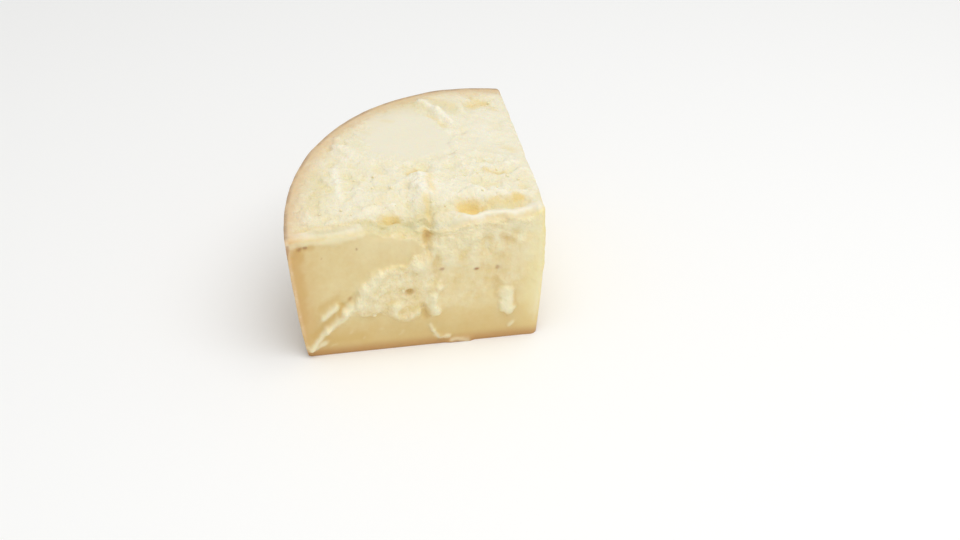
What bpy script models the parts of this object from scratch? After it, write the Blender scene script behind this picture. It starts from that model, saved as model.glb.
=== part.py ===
"""A pecorino wedge: one quarter of a round wheel that was also halved at mid-height.

Metres, +Z up. The wedge lies on the rind of the wheel's flat side. One knife cut faces -Y, the
other faces +X, and they meet along the wheel's axis. The rind of the wheel's edge, the heel,
runs round the back from -X to +Y. The top was split rather than cut, so it is crumbly.
"""

import math

import bmesh
import bpy
import numpy as np

# The wheel
WHEEL_RADIUS = 0.1255  # where it was halved
HEEL_UNDERCUT = 0.0070  # how much the rounded heel draws in from there to the base
HEEL_POWER = 1.5
BASE_ROUNDING = 0.0016
HEEL_WAVE = 0.0004
HEEL_WAVE_SIZE = 0.018

# The split top: heights above the base
APEX_HEIGHT = 0.0749
FRONT_RIM_HEIGHT = 0.0706
BACK_RIM_HEIGHT = 0.0727
CROWN = 0.0082  # how much the rim rises halfway round
TOP_POWER = 1.3

# The knife cuts
APEX = (0.06275, -0.06275)
APEX_ROUNDING = 0.0045
RIM_ROUNDING = 0.0020  # well behind the -Y cut
FRONT_RIM_ROUNDING = 0.0040  # and along that cut
ROUNDING_REACH = 0.025  # over which the one turns into the other
CUT_RECESS = 0.0006
CUT_LEAN = 0.0027  # how far the +X cut draws in at the base
CUT_BULGE = 0.0012
CUT_POWER = 1.4
LEAN_REACH = 0.030  # how far in from the cut its lean is taken up

# Relief of torn paste
RELIEF_REACH = 0.012  # how far round an edge one face's relief carries the next
BIG_CHIP = 0.0095
SMALL_CHIP = 0.0046
SWELL = 0.020
CHIP_SHARE = 0.75
SWELL_SHARE = 0.6
CHIP_STEP = 0.7  # how much of a chip's relief is its height
CHIP_TILT = 0.8  # and how much its tilt
CHIP_CRISPNESS = 14.0
NOISE_GAIN = 1.6
FRONT_CHIP_DEPTH = 0.0010
TOP_CHIP_DEPTH = 0.00115
SIDE_CHIP_DEPTH = 0.00095
FRONT_SEED = 20
SIDE_SEED = 30
TOP_SEED = 40

# How far outlines and runs wander
RAGGED_SIZE = 0.007
OUTLINE_RAGGED = 0.0024
SMOOTH_RAGGED = 0.0050
CUT_RUN_RAGGED = 0.0009
TOP_RUN_RAGGED = 0.0005
WANDER_SEEDS = (11, 12)

# Where relief dies down: over what reach, and the share of it that is left
RIND_START = 0.0022  # firm paste under the rind of the heel
RIND_WIDTH = 0.0055
RIND_SHARE = 0.3
HEEL_RIM_REACH = 0.008
HEEL_RIM_SHARE = 0.2
CUT_RIM_REACH = 0.008  # the top's, towards the +X cut
CUT_RIM_SHARE = 0.35
APEX_REACH = 0.008  # the cuts', towards the edge that they share
APEX_SHARE = 0.4
CALM_HEIGHT = 0.072  # the +X cut's, towards the top
CALM_REACH = 0.016
CALM_SHARE = 0.15
SMOOTH_BLEND = 0.014
SMOOTH_SHARE = 0.1

# The modelling grid, and how many triangles are kept of it
CELLS_ACROSS = 72
CELLS_UP = 42
TRIANGLES = 11000
SHARP_ANGLE = 35.0  # degrees

SAME_PLACE = 1e-6

PASTE_COLOUR = (0.83, 0.74, 0.50, 1.0)
PASTE_ROUGHNESS = 0.62

# On the -Y cut, as (x, z): outlines of torn paste, each with how far it stands proud, how rough it
# is and how softly it ends
FRONT_ZONES = (
    (
        (
            (-0.0680, 0.0625), (-0.0400, 0.0645), (-0.0240, 0.0670), (-0.0150, 0.0700),
            (-0.0080, 0.0840), (-0.0680, 0.0840),
        ),
        0.0003, 0.25, 0.0022,
    ),
    (
        (
            (0.0020, 0.0460), (-0.0010, 0.0760), (0.0660, 0.0800), (0.0660, 0.0500), (0.0440, 0.0400),
            (0.0200, 0.0440), (0.0100, 0.0320),
        ),
        0.0007, 0.80, 0.0080,
    ),
    (
        (
            (0.0080, 0.0220), (0.0060, 0.0500), (0.0660, 0.0600), (0.0660, 0.0260), (0.0400, 0.0280),
            (0.0240, 0.0200),
        ),
        0.0004, 0.45, 0.0100,
    ),
    (
        (
            (-0.0240, 0.0840), (-0.0220, 0.0710), (-0.0160, 0.0674), (-0.0080, 0.0650),
            (-0.0010, 0.0630), (0.0015, 0.0570), (0.0010, 0.0500), (0.0140, 0.0480), (0.0180, 0.0840),
        ),
        0.0003, 0.75, 0.0060,
    ),
    (
        (
            (-0.0380, 0.0220), (-0.0335, 0.0290), (-0.0290, 0.0370), (-0.0250, 0.0435),
            (-0.0190, 0.0480), (-0.0110, 0.0495), (-0.0040, 0.0490), (-0.0010, 0.0525),
            (0.0040, 0.0535), (0.0090, 0.0450), (0.0125, 0.0360), (0.0090, 0.0290), (0.0100, 0.0210),
            (0.0060, 0.0175), (0.0020, 0.0230), (0.0000, 0.0175), (-0.0050, 0.0160), (-0.0120, 0.0200),
            (-0.0200, 0.0220), (-0.0300, 0.0215),
        ),
        0.0011, 1.00, 0.0026,
    ),
    (
        (
            (0.0413, 0.0312), (0.0396, 0.0272), (0.0393, 0.0215), (0.0412, 0.0166), (0.0440, 0.0144),
            (0.0465, 0.0164), (0.0482, 0.0221), (0.0468, 0.0283), (0.0451, 0.0312),
        ),
        0.0015, 0.50, 0.0020,
    ),
)
FRONT_RIDGES = (  # start, end, half width, height
    ((-0.0545, 0.0048), (-0.0454, 0.0154), 0.0018, 0.0019),
    ((-0.0454, 0.0154), (-0.0360, 0.0244), 0.0020, 0.0019),
    ((-0.0360, 0.0240), (-0.0325, 0.0290), 0.0026, 0.0015),
    ((-0.0534, 0.0050), (-0.0468, 0.0078), 0.0018, 0.0011),
    ((-0.0466, 0.0226), (-0.0404, 0.0280), 0.0021, 0.0015),
    ((-0.0290, 0.0280), (-0.0270, 0.0360), 0.0030, 0.0015),
    ((-0.0255, 0.0380), (-0.0195, 0.0440), 0.0030, 0.0015),
    ((-0.0180, 0.0460), (-0.0130, 0.0470), 0.0022, 0.0009),
    ((-0.0200, 0.0320), (-0.0180, 0.0360), 0.0030, 0.0008),
    ((-0.0120, 0.0260), (-0.0120, 0.0220), 0.0026, 0.0014),
    ((-0.0097, 0.0194), (-0.0045, 0.0178), 0.0019, 0.0012),
    ((-0.0042, 0.0186), (0.0000, 0.0215), 0.0019, 0.0013),
    ((0.0000, 0.0482), (0.0042, 0.0486), 0.0029, 0.0015),
    ((0.0025, 0.0440), (0.0030, 0.0480), 0.0026, 0.0008),
    ((0.0076, 0.0300), (0.0079, 0.0205), 0.0023, 0.0016),
    ((0.0400, 0.0360), (0.0430, 0.0330), 0.0016, 0.0005),
    ((0.0040, 0.0360), (0.0120, 0.0342), 0.0017, 0.0008),
    ((-0.0066, 0.0406), (-0.0076, 0.0450), 0.0019, 0.0008),
    ((0.0120, 0.0540), (0.0120, 0.0700), 0.0022, 0.0010),
    ((0.0166, 0.0490), (0.0164, 0.0660), 0.0028, 0.0007),
    ((0.0274, 0.0450), (0.0280, 0.0610), 0.0032, 0.0008),
    ((0.0510, 0.0600), (0.0530, 0.0670), 0.0030, 0.0007),
    ((0.0442, 0.0195), (0.0442, 0.0230), 0.0028, 0.0010),
    ((0.0155, 0.0010), (0.0250, 0.0012), 0.0016, 0.0010),
    ((0.0180, 0.0695), (0.0520, 0.0715), 0.0030, 0.0006),
)
FRONT_GROOVES = (
    ((0.0052, 0.0570), (0.0050, 0.0800), 0.0023, 0.0020),
    ((0.0218, 0.0540), (0.0216, 0.0680), 0.0020, 0.0004),
    ((0.0340, 0.0540), (0.0330, 0.0680), 0.0024, 0.0011),
    ((0.0084, 0.0500), (0.0076, 0.0430), 0.0024, 0.0009),
    ((0.0375, 0.0300), (0.0395, 0.0500), 0.0026, 0.0011),
    ((0.0430, 0.0560), (0.0460, 0.0620), 0.0040, 0.0010),
    ((-0.0046, 0.0331), (-0.0040, 0.0335), 0.0020, 0.0024),
    ((-0.0384, 0.0270), (-0.0368, 0.0296), 0.0018, 0.0008),
    ((0.0030, 0.0240), (0.0034, 0.0185), 0.0020, 0.0015),
    ((-0.0175, 0.0230), (-0.0165, 0.0250), 0.0024, 0.0008),
    ((0.0080, 0.0385), (0.0090, 0.0420), 0.0024, 0.0006),
    ((0.0570, 0.0520), (0.0590, 0.0660), 0.0026, 0.0007),
)
FRONT_CHAMFERS = (  # where the rim is broken off, and runs straight
    ((-0.0660, 0.0740), (-0.0240, 0.0765), 0.0046, 0.0022),
    ((-0.0200, 0.0760), (-0.0090, 0.0750), 0.0060, 0.0040),
    ((-0.0090, 0.0750), (0.0020, 0.0740), 0.0060, 0.0026),
)

# On the top, as (x, y). It is torn all over, but for the middle of it.
TOP_ZONES = (
    (
        (
            (0.0300, -0.0120), (0.0320, 0.0300), (0.0400, 0.0400), (0.0600, 0.0360), (0.0640, -0.0200),
            (0.0500, -0.0160),
        ),
        0.0000, 0.40, 0.0100,
    ),
    (
        (
            (0.0165, 0.0480), (0.0184, 0.0410), (0.0240, 0.0330), (0.0300, 0.0230), (0.0360, 0.0270),
            (0.0390, 0.0400), (0.0400, 0.0560), (0.0240, 0.0620),
        ),
        0.0009, 0.50, 0.0040,
    ),
    (
        (
            (0.0140, -0.0660), (0.0170, -0.0580), (0.0400, -0.0575), (0.0660, -0.0560),
            (0.0660, -0.0660),
        ),
        0.0000, 0.20, 0.0024,
    ),
    (
        (
            (-0.0660, -0.0660), (-0.0660, -0.0610), (-0.0260, -0.0605), (-0.0220, -0.0660),
        ),
        0.0000, 0.25, 0.0024,
    ),
    (
        (
            (0.0005, -0.0520), (0.0000, -0.0360), (0.0005, -0.0260), (0.0040, -0.0235),
            (0.0110, -0.0245), (0.0180, -0.0300), (0.0310, -0.0350), (0.0360, -0.0430),
            (0.0200, -0.0480), (0.0110, -0.0520),
        ),
        0.0010, 0.90, 0.0032,
    ),
)
TOP_SMOOTH = (
    (-0.0200, 0.0020), (-0.0130, -0.0080), (0.0000, -0.0120), (0.0140, -0.0130), (0.0260, -0.0100),
    (0.0290, 0.0020), (0.0270, 0.0160), (0.0200, 0.0360), (0.0040, 0.0450), (-0.0140, 0.0320),
)
TOP_RIDGES = (
    ((0.0166, 0.0450), (0.0177, 0.0423), 0.0024, 0.0009),
    ((0.0177, 0.0423), (0.0239, 0.0344), 0.0028, 0.0015),
    ((0.0239, 0.0344), (0.0300, 0.0228), 0.0026, 0.0014),
    ((0.0360, 0.0400), (0.0384, 0.0330), 0.0024, 0.0007),
    ((0.0090, -0.0440), (0.0065, -0.0290), 0.0050, 0.0016),
    ((0.0200, -0.0604), (0.0520, -0.0600), 0.0030, 0.0007),
    ((0.0300, -0.0470), (0.0500, -0.0450), 0.0040, 0.0010),
    ((-0.0344, -0.0380), (-0.0346, -0.0150), 0.0022, 0.0008),
    ((-0.0300, 0.0040), (-0.0140, -0.0100), 0.0030, 0.0007),
    ((0.0380, -0.0080), (0.0540, -0.0140), 0.0030, 0.0008),
)
TOP_GROOVES = (
    ((0.0240, -0.0528), (0.0290, -0.0532), 0.0042, 0.0036),
    ((0.0290, -0.0544), (0.0530, -0.0542), 0.0039, 0.0028),
    ((-0.0155, -0.0586), (-0.0094, -0.0562), 0.0044, 0.0030),
    ((0.0060, -0.0660), (0.0085, -0.0440), 0.0017, 0.0011),
    ((-0.0035, -0.0500), (-0.0020, -0.0260), 0.0024, 0.0005),
    ((0.0025, -0.0210), (0.0090, -0.0215), 0.0020, 0.0022),
    ((0.0432, 0.0424), (0.0492, 0.0454), 0.0044, 0.0011),
    ((0.0520, 0.0400), (0.0550, 0.0374), 0.0026, 0.0005),
    ((0.0330, 0.0120), (0.0350, 0.0140), 0.0018, 0.0010),
    ((0.0230, -0.0070), (0.0245, -0.0160), 0.0018, 0.0008),
    ((0.0430, -0.0270), (0.0460, -0.0275), 0.0026, 0.0012),
    ((0.0186, 0.0334), (0.0264, 0.0190), 0.0024, 0.0005),
    ((-0.0150, -0.0184), (-0.0116, -0.0210), 0.0020, 0.0005),
)
TOP_CHAMFERS = (  # where the top falls away towards the -Y cut
    ((0.0180, -0.0630), (0.0530, -0.0630), 0.0055, 0.0028),
)
SADDLE = (-0.0010, 0.0200, 0.0140, 0.0044)  # x, reach along the edge, reach inwards, depth

# On the +X cut, as (y, z)
SIDE_ZONES = (
    (
        (
            (-0.0700, 0.0350), (-0.0500, 0.0370), (-0.0320, 0.0420), (-0.0140, 0.0350),
            (0.0050, 0.0270), (0.0200, 0.0320), (0.0330, 0.0340), (0.0500, 0.0460), (0.0700, 0.0580),
            (0.0700, 0.0900), (-0.0700, 0.0900),
        ),
        0.0010, 0.90, 0.0030,
    ),
)
SIDE_RIDGES = (
    ((-0.0520, 0.0370), (-0.0310, 0.0410), 0.0028, 0.0009),
    ((-0.0300, 0.0405), (0.0040, 0.0280), 0.0026, 0.0011),
    ((0.0100, 0.0290), (0.0380, 0.0370), 0.0024, 0.0009),
)
SIDE_GROOVES = (
    ((-0.0150, 0.0460), (-0.0120, 0.0740), 0.0032, 0.0020),
    ((0.0230, 0.0520), (0.0300, 0.0700), 0.0028, 0.0015),
    ((-0.0400, 0.0550), (-0.0360, 0.0660), 0.0030, 0.0012),
)


def clear_scene():
    for existing in list(bpy.data.objects):
        bpy.data.objects.remove(existing, do_unlink=True)


def smooth_step(value):
    """0 below 0, 1 above 1, and an even S between."""
    value = np.clip(value, 0.0, 1.0)
    return value * value * (3.0 - 2.0 * value)


def grown(distance, reach, share):
    """Grows from share, where the distance is nothing, to 1 where it is the whole reach."""
    return share + (1.0 - share) * smooth_step(distance / reach)


def hashed(cells, seed):
    """One steady number from 0 to 1 for each whole-numbered cell."""
    cells = cells.astype(np.int64)
    mixed = cells[..., 0] * 374761393 + cells[..., 1] * 668265263 + cells[..., 2] * 2147483629
    mixed = (mixed + seed * 1274126177) & 0xFFFFFFFF
    mixed = ((mixed ^ (mixed >> 13)) * 1274126177) & 0xFFFFFFFF
    mixed = ((mixed ^ (mixed >> 15)) * 2246822519) & 0xFFFFFFFF
    return (mixed ^ (mixed >> 16)) / 4294967296.0


def soft_noise(places, size, seed):
    """Rolling noise, about -1 to 1."""
    at = places / size
    cell = np.floor(at)
    in_cell = at - cell
    blend = smooth_step(in_cell)
    total = np.zeros(len(at))
    for corner in np.ndindex(2, 2, 2):
        offset = np.array(corner)
        weight = np.prod(np.where(offset, blend, 1.0 - blend), axis=1)
        slope = np.stack([hashed(cell + offset, seed * 3 + k) for k in range(3)], axis=1) * 2.0 - 1.0
        total += weight * np.sum(slope * (in_cell - offset), axis=1)
    return total * NOISE_GAIN


def chip_noise(places, size, seed):
    """Broken chips, about -1 to 1, each with its own height and tilt."""
    at = places / size
    cell = np.floor(at)
    total = np.zeros(len(at))
    weights = np.zeros(len(at))
    for corner in np.ndindex(3, 3, 3):
        neighbour = cell + np.array(corner) - 1.0
        jitter = np.stack([hashed(neighbour, seed * 7 + k) for k in range(3)], axis=1)
        away = at - neighbour - jitter
        tilt = np.stack([hashed(neighbour, seed * 7 + 3 + k) for k in range(3)], axis=1) * 2.0 - 1.0
        step = hashed(neighbour, seed * 7 + 6) * 2.0 - 1.0
        out = CHIP_STEP * step + CHIP_TILT * np.sum(tilt * away, axis=1)
        weight = np.exp(-CHIP_CRISPNESS * np.linalg.norm(away, axis=1))
        total += weight * out
        weights += weight
    return total / weights


def run_distance(points, start, end):
    """How far points on a face lie from the straight run between two others."""
    start = np.array(start)
    run = np.array(end) - start
    along = np.clip((points - start) @ run / max(run @ run, 1e-12), 0.0, 1.0)
    return np.linalg.norm(points - start - along[:, None] * run, axis=1)


def inside(points, outline, soft):
    """1 within an outline and 0 outside it, blended over a band of the width soft."""
    corners = np.array(outline)
    crossings = np.zeros(len(points), dtype=int)
    nearest = np.full(len(points), math.inf)
    for start, end in zip(corners, np.roll(corners, -1, axis=0)):
        nearest = np.minimum(nearest, run_distance(points, start, end))
        spans = (start[1] > points[:, 1]) != (end[1] > points[:, 1])
        rise = end[1] - start[1] if end[1] != start[1] else 1.0
        crossing = start[0] + (points[:, 1] - start[1]) / rise * (end[0] - start[0])
        crossings += spans & (crossing > points[:, 0])
    signed = np.where(crossings % 2 == 1, nearest, -nearest)
    return smooth_step(0.5 + signed / soft)


def lines(points, runs):
    """The summed height of rounded ridges, each along its own straight run."""
    height = np.zeros(len(points))
    for start, end, half_width, crest in runs:
        away = run_distance(points, start, end) / half_width
        height += crest * np.exp(-(away**2))
    return height


def crumble(places, seed):
    """Torn paste, about -1 to 1: broad chips, covered in smaller ones."""
    chips = chip_noise(places, BIG_CHIP, seed) + chip_noise(places, SMALL_CHIP, seed + 1)
    return CHIP_SHARE * chips + SWELL_SHARE * soft_noise(places, SWELL, seed + 3)


def wandering(places):
    """A wandering offset that makes an outline read with it come out torn."""
    return np.stack([soft_noise(places, RAGGED_SIZE, seed) for seed in WANDER_SEEDS], axis=1)


def face_relief(points, places, zones, ridges, grooves, run_ragged, torn_elsewhere=0.0):
    """How far a face stands out by its zones and runs, and how torn it is."""
    wander = wandering(places)
    proud = np.zeros(len(points))
    torn = np.full(len(points), torn_elsewhere)
    for outline, height, rough, soft in zones:
        share = inside(points + wander * OUTLINE_RAGGED, outline, soft)
        proud = np.maximum(proud, share * height)
        torn = torn * (1.0 - share) + share * rough
    along = points + wander * run_ragged
    return proud + lines(along, ridges) - lines(along, grooves), torn


def front_relief(places):
    """How far the -Y cut stands out at places on it. It is calmer near the cuts' shared edge."""
    points = places[:, [0, 2]]
    relief, torn = face_relief(
        points, places, FRONT_ZONES, FRONT_RIDGES, FRONT_GROOVES, CUT_RUN_RAGGED
    )
    relief += torn * FRONT_CHIP_DEPTH * crumble(places, FRONT_SEED)
    relief -= CUT_RECESS + lines(points, FRONT_CHAMFERS)
    return relief * grown(APEX[0] - places[:, 0], APEX_REACH, APEX_SHARE)


def side_relief(places):
    """How far the +X cut stands out at places on it. Both its upper edges are kept straight."""
    points = places[:, [1, 2]]
    relief, torn = face_relief(
        points, places, SIDE_ZONES, SIDE_RIDGES, SIDE_GROOVES, CUT_RUN_RAGGED
    )
    relief += torn * SIDE_CHIP_DEPTH * crumble(places, SIDE_SEED) - CUT_RECESS
    relief *= grown(CALM_HEIGHT - places[:, 2], CALM_REACH, CALM_SHARE)
    return relief * grown(places[:, 1] - APEX[1], APEX_REACH, APEX_SHARE)


def top_relief(places, to_rim):
    """How far the top stands up at places on it. Near the rim the paste is firm and even."""
    points = places[:, [0, 1]]
    relief, torn = face_relief(
        points, places, TOP_ZONES, TOP_RIDGES, TOP_GROOVES, TOP_RUN_RAGGED, 1.0
    )
    smooth = inside(points + wandering(places) * SMOOTH_RAGGED, TOP_SMOOTH, SMOOTH_BLEND)
    torn *= 1.0 + (SMOOTH_SHARE - 1.0) * smooth
    torn *= grown(to_rim - RIND_START, RIND_WIDTH, RIND_SHARE)
    relief += torn * TOP_CHIP_DEPTH * crumble(places, TOP_SEED) - lines(points, TOP_CHAMFERS)
    relief *= grown(to_rim, HEEL_RIM_REACH, HEEL_RIM_SHARE)
    relief *= grown(APEX[0] - places[:, 0], CUT_RIM_REACH, CUT_RIM_SHARE)
    middle, along, inwards, depth = SADDLE
    to_front = (places[:, 1] - APEX[1]) / inwards
    broken = np.exp(-(((places[:, 0] - middle) / along) ** 4) - to_front**2)
    return relief - depth * broken


def round_edge(first, second, radius):
    """Rounds a square edge, given the depths of points in from its two faces."""
    inner = np.minimum(first, second)
    left = np.maximum(radius - inner, SAME_PLACE)
    along = np.maximum(first, second) - inner
    turn = math.pi / 4.0 * (1.0 - np.clip(along / left, 0.0, 1.0))
    near = inner + left * (1.0 - np.cos(turn))
    far = inner + left * (1.0 - np.sin(turn))
    first_far = first > second
    rounded = along < left
    new_first = np.where(rounded, np.where(first_far, far, near), first)
    new_second = np.where(rounded, np.where(first_far, near, far), second)
    return new_first, new_second


def round_corner(from_side, from_front, from_top):
    """Rounds the cuts' shared upright edge, then the rim of the top all along it."""
    from_side, from_front = round_edge(from_side, from_front, APEX_ROUNDING)
    sideways = np.maximum(APEX_ROUNDING - from_side, 0.0)
    forwards = np.maximum(APEX_ROUNDING - from_front, 0.0)
    reach = np.maximum(np.hypot(sideways, forwards), SAME_PLACE)
    near_front = smooth_step(1.0 - from_front / ROUNDING_REACH)
    rim_rounding = RIM_ROUNDING + (FRONT_RIM_ROUNDING - RIM_ROUNDING) * near_front
    depth, from_top = round_edge(APEX_ROUNDING - reach, from_top, rim_rounding)
    pushed = (depth - APEX_ROUNDING + reach) / reach
    return from_side + sideways * pushed, from_front + forwards * pushed, from_top


def carried(distance):
    """The share of a face's relief that is felt at a distance in from that face."""
    return 1.0 - smooth_step(distance / RELIEF_REACH)


def top_height(out):
    """Height of the top before its relief, out being plan offsets from the axis."""
    reach = np.clip(np.linalg.norm(out, axis=1) / WHEEL_RADIUS, 0.0, 1.0)
    turn = np.arctan2(out[:, 1], -out[:, 0]) / (math.pi / 2.0)  # 0 at the -Y cut, 1 at the +X cut
    rim = FRONT_RIM_HEIGHT + (BACK_RIM_HEIGHT - FRONT_RIM_HEIGHT) * turn
    rim += CROWN * 4.0 * turn * (1.0 - turn)
    return APEX_HEIGHT + (rim - APEX_HEIGHT) * reach**TOP_POWER


def heel_radius(height):
    """The wheel's radius at a height, drawn in towards the base and rounded under."""
    below = np.clip(FRONT_RIM_HEIGHT - height, 0.0, None) / FRONT_RIM_HEIGHT
    short = np.clip(BASE_ROUNDING - height, 0.0, BASE_ROUNDING)
    drawn_in = BASE_ROUNDING - np.sqrt(BASE_ROUNDING**2 - short**2)
    return WHEEL_RADIUS - HEEL_UNDERCUT * below**HEEL_POWER - drawn_in


def cut_lean(height):
    """How far the +X cut stands out of its plane: in at the base, out a little halfway up."""
    up = np.clip(height / APEX_HEIGHT, 0.0, 1.0)
    return CUT_BULGE * np.sin(math.pi * up) - CUT_LEAN * (1.0 - up) ** CUT_POWER


def block_grid():
    """A unit cube cut into a grid: CELLS_ACROSS along X and Y, CELLS_UP along Z."""
    grid = bmesh.new()
    bmesh.ops.create_cube(grid, size=1.0)
    for axis, cells in enumerate((CELLS_ACROSS, CELLS_ACROSS, CELLS_UP)):
        edges = [
            edge for edge in grid.edges
            if abs(edge.verts[0].co[axis] - edge.verts[1].co[axis]) > 0.5
        ]
        bmesh.ops.subdivide_edges(grid, edges=edges, cuts=cells - 1, use_grid_fill=True)
    return grid


def places_in_wedge(cube):
    """Where points on the unit cube's surface lie on the wedge."""
    across = 0.5 - cube[:, 0]  # 0 at the +X cut, 1 at the heel
    back = 0.5 + cube[:, 1]  # 0 at the -Y cut, 1 at the heel
    up = 0.5 + cube[:, 2]

    # The whole block: a quarter of a disc at each height
    out_x = -across * np.sqrt(1.0 - back**2 / 2.0)
    out_y = back * np.sqrt(1.0 - across**2 / 2.0)
    out = np.stack([out_x, out_y], axis=1)
    top = top_height(out * WHEEL_RADIUS)
    height = top * up
    plan = out * heel_radius(height)[:, None]
    block = np.column_stack([APEX[0] + plan[:, 0], APEX[1] + plan[:, 1], height])
    on_heel = np.maximum(across, back) > 1.0 - SAME_PLACE
    wave = HEEL_WAVE * soft_noise(block, HEEL_WAVE_SIZE, 1) / WHEEL_RADIUS
    plan *= np.where(on_heel, 1.0 + wave, 1.0)[:, None]

    # Its depths in from the +X cut, the -Y cut and the top, with the edges between them rounded
    depths = round_corner(-plan[:, 0], plan[:, 1], top - height)
    places = np.column_stack([APEX[0] - depths[0], APEX[1] + depths[1], top - depths[2]])
    places[:, 0] += cut_lean(height) * (1.0 - smooth_step(-plan[:, 0] / LEAN_REACH))
    places[up < SAME_PLACE, 2] = 0.0
    to_rim = WHEEL_RADIUS * (1.0 - np.linalg.norm(out, axis=1))
    low = smooth_step(height / RELIEF_REACH)
    places[:, 0] += side_relief(block) * carried(-plan[:, 0])
    places[:, 1] -= front_relief(block) * carried(plan[:, 1])
    places[:, 2] += top_relief(block, to_rim) * carried(top - height) * low
    return places


def centred_on_base(places):
    """Puts the origin at the middle of the wedge's box, on the surface that it stands on."""
    middle = (places.min(axis=0) + places.max(axis=0)) / 2.0
    return places - np.array([middle[0], middle[1], 0.0])


def paste_material():
    material = bpy.data.materials.new("pecorino_paste")
    material.use_nodes = True
    shader = material.node_tree.nodes["Principled BSDF"]
    shader.inputs["Base Color"].default_value = PASTE_COLOUR
    shader.inputs["Roughness"].default_value = PASTE_ROUGHNESS
    shader.inputs["Metallic"].default_value = 0.0
    return material


def make_wedge(collection):
    wedge = block_grid()
    cube = np.array([vertex.co for vertex in wedge.verts])
    for vertex, place in zip(wedge.verts, centred_on_base(places_in_wedge(cube))):
        vertex.co = place
    bmesh.ops.triangulate(wedge, faces=wedge.faces[:], quad_method="SHORT_EDGE")
    mesh = bpy.data.meshes.new("pecorino_wedge")
    wedge.to_mesh(mesh)
    wedge.free()
    mesh.shade_smooth()
    mesh.set_sharp_from_angle(angle=math.radians(SHARP_ANGLE))
    mesh.materials.append(paste_material())

    solid = bpy.data.objects.new("pecorino_wedge", mesh)
    collection.objects.link(solid)
    thin = solid.modifiers.new("fewer facets where it is flat", "DECIMATE")
    thin.ratio = TRIANGLES / len(mesh.polygons)
    return solid


def main():
    clear_scene()
    collection = bpy.data.collections.new("pecorino")
    bpy.context.scene.collection.children.link(collection)
    make_wedge(collection)


main()
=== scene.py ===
import math

import bpy
import numpy as np
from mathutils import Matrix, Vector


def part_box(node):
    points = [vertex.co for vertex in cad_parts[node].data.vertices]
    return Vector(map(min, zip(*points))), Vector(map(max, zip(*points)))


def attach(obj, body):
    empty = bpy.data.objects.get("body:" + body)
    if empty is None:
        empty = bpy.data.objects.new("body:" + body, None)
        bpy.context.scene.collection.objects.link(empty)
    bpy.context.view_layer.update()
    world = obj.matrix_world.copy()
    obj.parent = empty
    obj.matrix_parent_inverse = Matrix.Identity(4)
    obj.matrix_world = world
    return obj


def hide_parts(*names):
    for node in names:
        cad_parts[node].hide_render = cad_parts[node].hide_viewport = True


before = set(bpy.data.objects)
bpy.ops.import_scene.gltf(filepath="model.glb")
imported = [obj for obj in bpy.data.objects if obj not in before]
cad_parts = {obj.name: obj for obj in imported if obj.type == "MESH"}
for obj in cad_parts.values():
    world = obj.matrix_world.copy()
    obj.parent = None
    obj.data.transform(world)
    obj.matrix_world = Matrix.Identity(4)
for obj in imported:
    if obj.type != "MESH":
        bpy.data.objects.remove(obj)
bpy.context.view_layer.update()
wedgeLow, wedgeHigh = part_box("pecorino_wedge")
mm = 0.001

# How the wedge was cut out of its wheel. Depths and heights are in metres.
wheel = {
    "radius": 125.5 * mm,
    "undercut": 7.0 * mm,  # how much the heel draws in at the base
    "undercutPower": 1.5,
    "baseRounding": 1.6 * mm,
    "apexHeight": 74.9 * mm,
    "frontRimHeight": 70.6 * mm,
    "backRimHeight": 72.7 * mm,
    "crown": 8.2 * mm,  # how much the rim rises halfway round
    "apex": (62.75 * mm, -62.75 * mm),
    "centre": (0.747 * mm, -1.733 * mm),  # the middle of the wedge's box, which becomes the origin
    "apexRounding": 4.5 * mm,
    "rimRounding": (2.0 * mm, 4.0 * mm),  # well behind the front cut, and along it
    "rimReach": 25.0 * mm,
    "sideLean": 2.7 * mm,
    "sideBulge": 1.2 * mm,
    "leanReach": 30.0 * mm,
    "reliefReach": 12.0 * mm,
    "edgeBlend": 6.0 * mm,
    "topBlend": 0.7,  # the top's share of the marks at its rim
    "inset": 0.02 * mm,  # how far the fine surface stays inside the wedge's box
    "topPower": 1.3,
    "leanPower": 1.4,
    "heelWaves": ((18 * mm, 0.4 * mm), (5 * mm, 0.15 * mm)),  # size, depth
    "apexCalm": (54 * mm, 8 * mm, 0.6),  # start, length and share of the cuts' calm end
    "heelRim": (8 * mm, 0.2),  # how far in the top's relief grows, and the share it starts from
    "sideRim": (8 * mm, 0.35),
}

# The steps a unit cube is divided in. Only the heel is thinned out afterwards.
grid = {"across": (14, 14), "up": (14, 8), "triangles": 192000}
samePlace = 1e-5  # on the unit cube
onFloor = 1e-6  # in metres

# How torn paste crumbles: sizes in metres, and what each adds
crumbling = {
    "noiseGain": 1.6,
    "chipStep": 0.7,
    "chipTilt": 0.8,
    "chipCrispness": 14.0,
    "bigChip": (9.5 * mm, 0.75),
    "roll": (20 * mm, 0.6),
    "smallChip": (4.6 * mm, 0.75),
    "grain": (2.5 * mm, 0.3, 0.5),  # size, height in a chip's middle, fall towards its edge
    "patch": (9 * mm, 0.7, 0.9, 1.6),  # size, middle, swing and most of the grain's own patches
    "wander": (7 * mm, (11, 12)),  # size and seeds of an outline's wandering
    "fineWander": (2.2 * mm, (13, 14)),
    "fineShare": 0.4,
    "zoneWander": 2.4,
    "smoothWander": 5.0,
    "raisedShare": 0.5,  # how much of a zone's height counts as a crest
}


def deselectAll():
    if bpy.context.object and bpy.context.object.mode != "OBJECT":
        bpy.ops.object.mode_set(mode="OBJECT")
    bpy.ops.object.select_all(action="DESELECT")


def editOnly(piece):
    deselectAll()
    piece.select_set(True)
    bpy.context.view_layer.objects.active = piece
    bpy.ops.object.mode_set(mode="EDIT")


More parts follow.
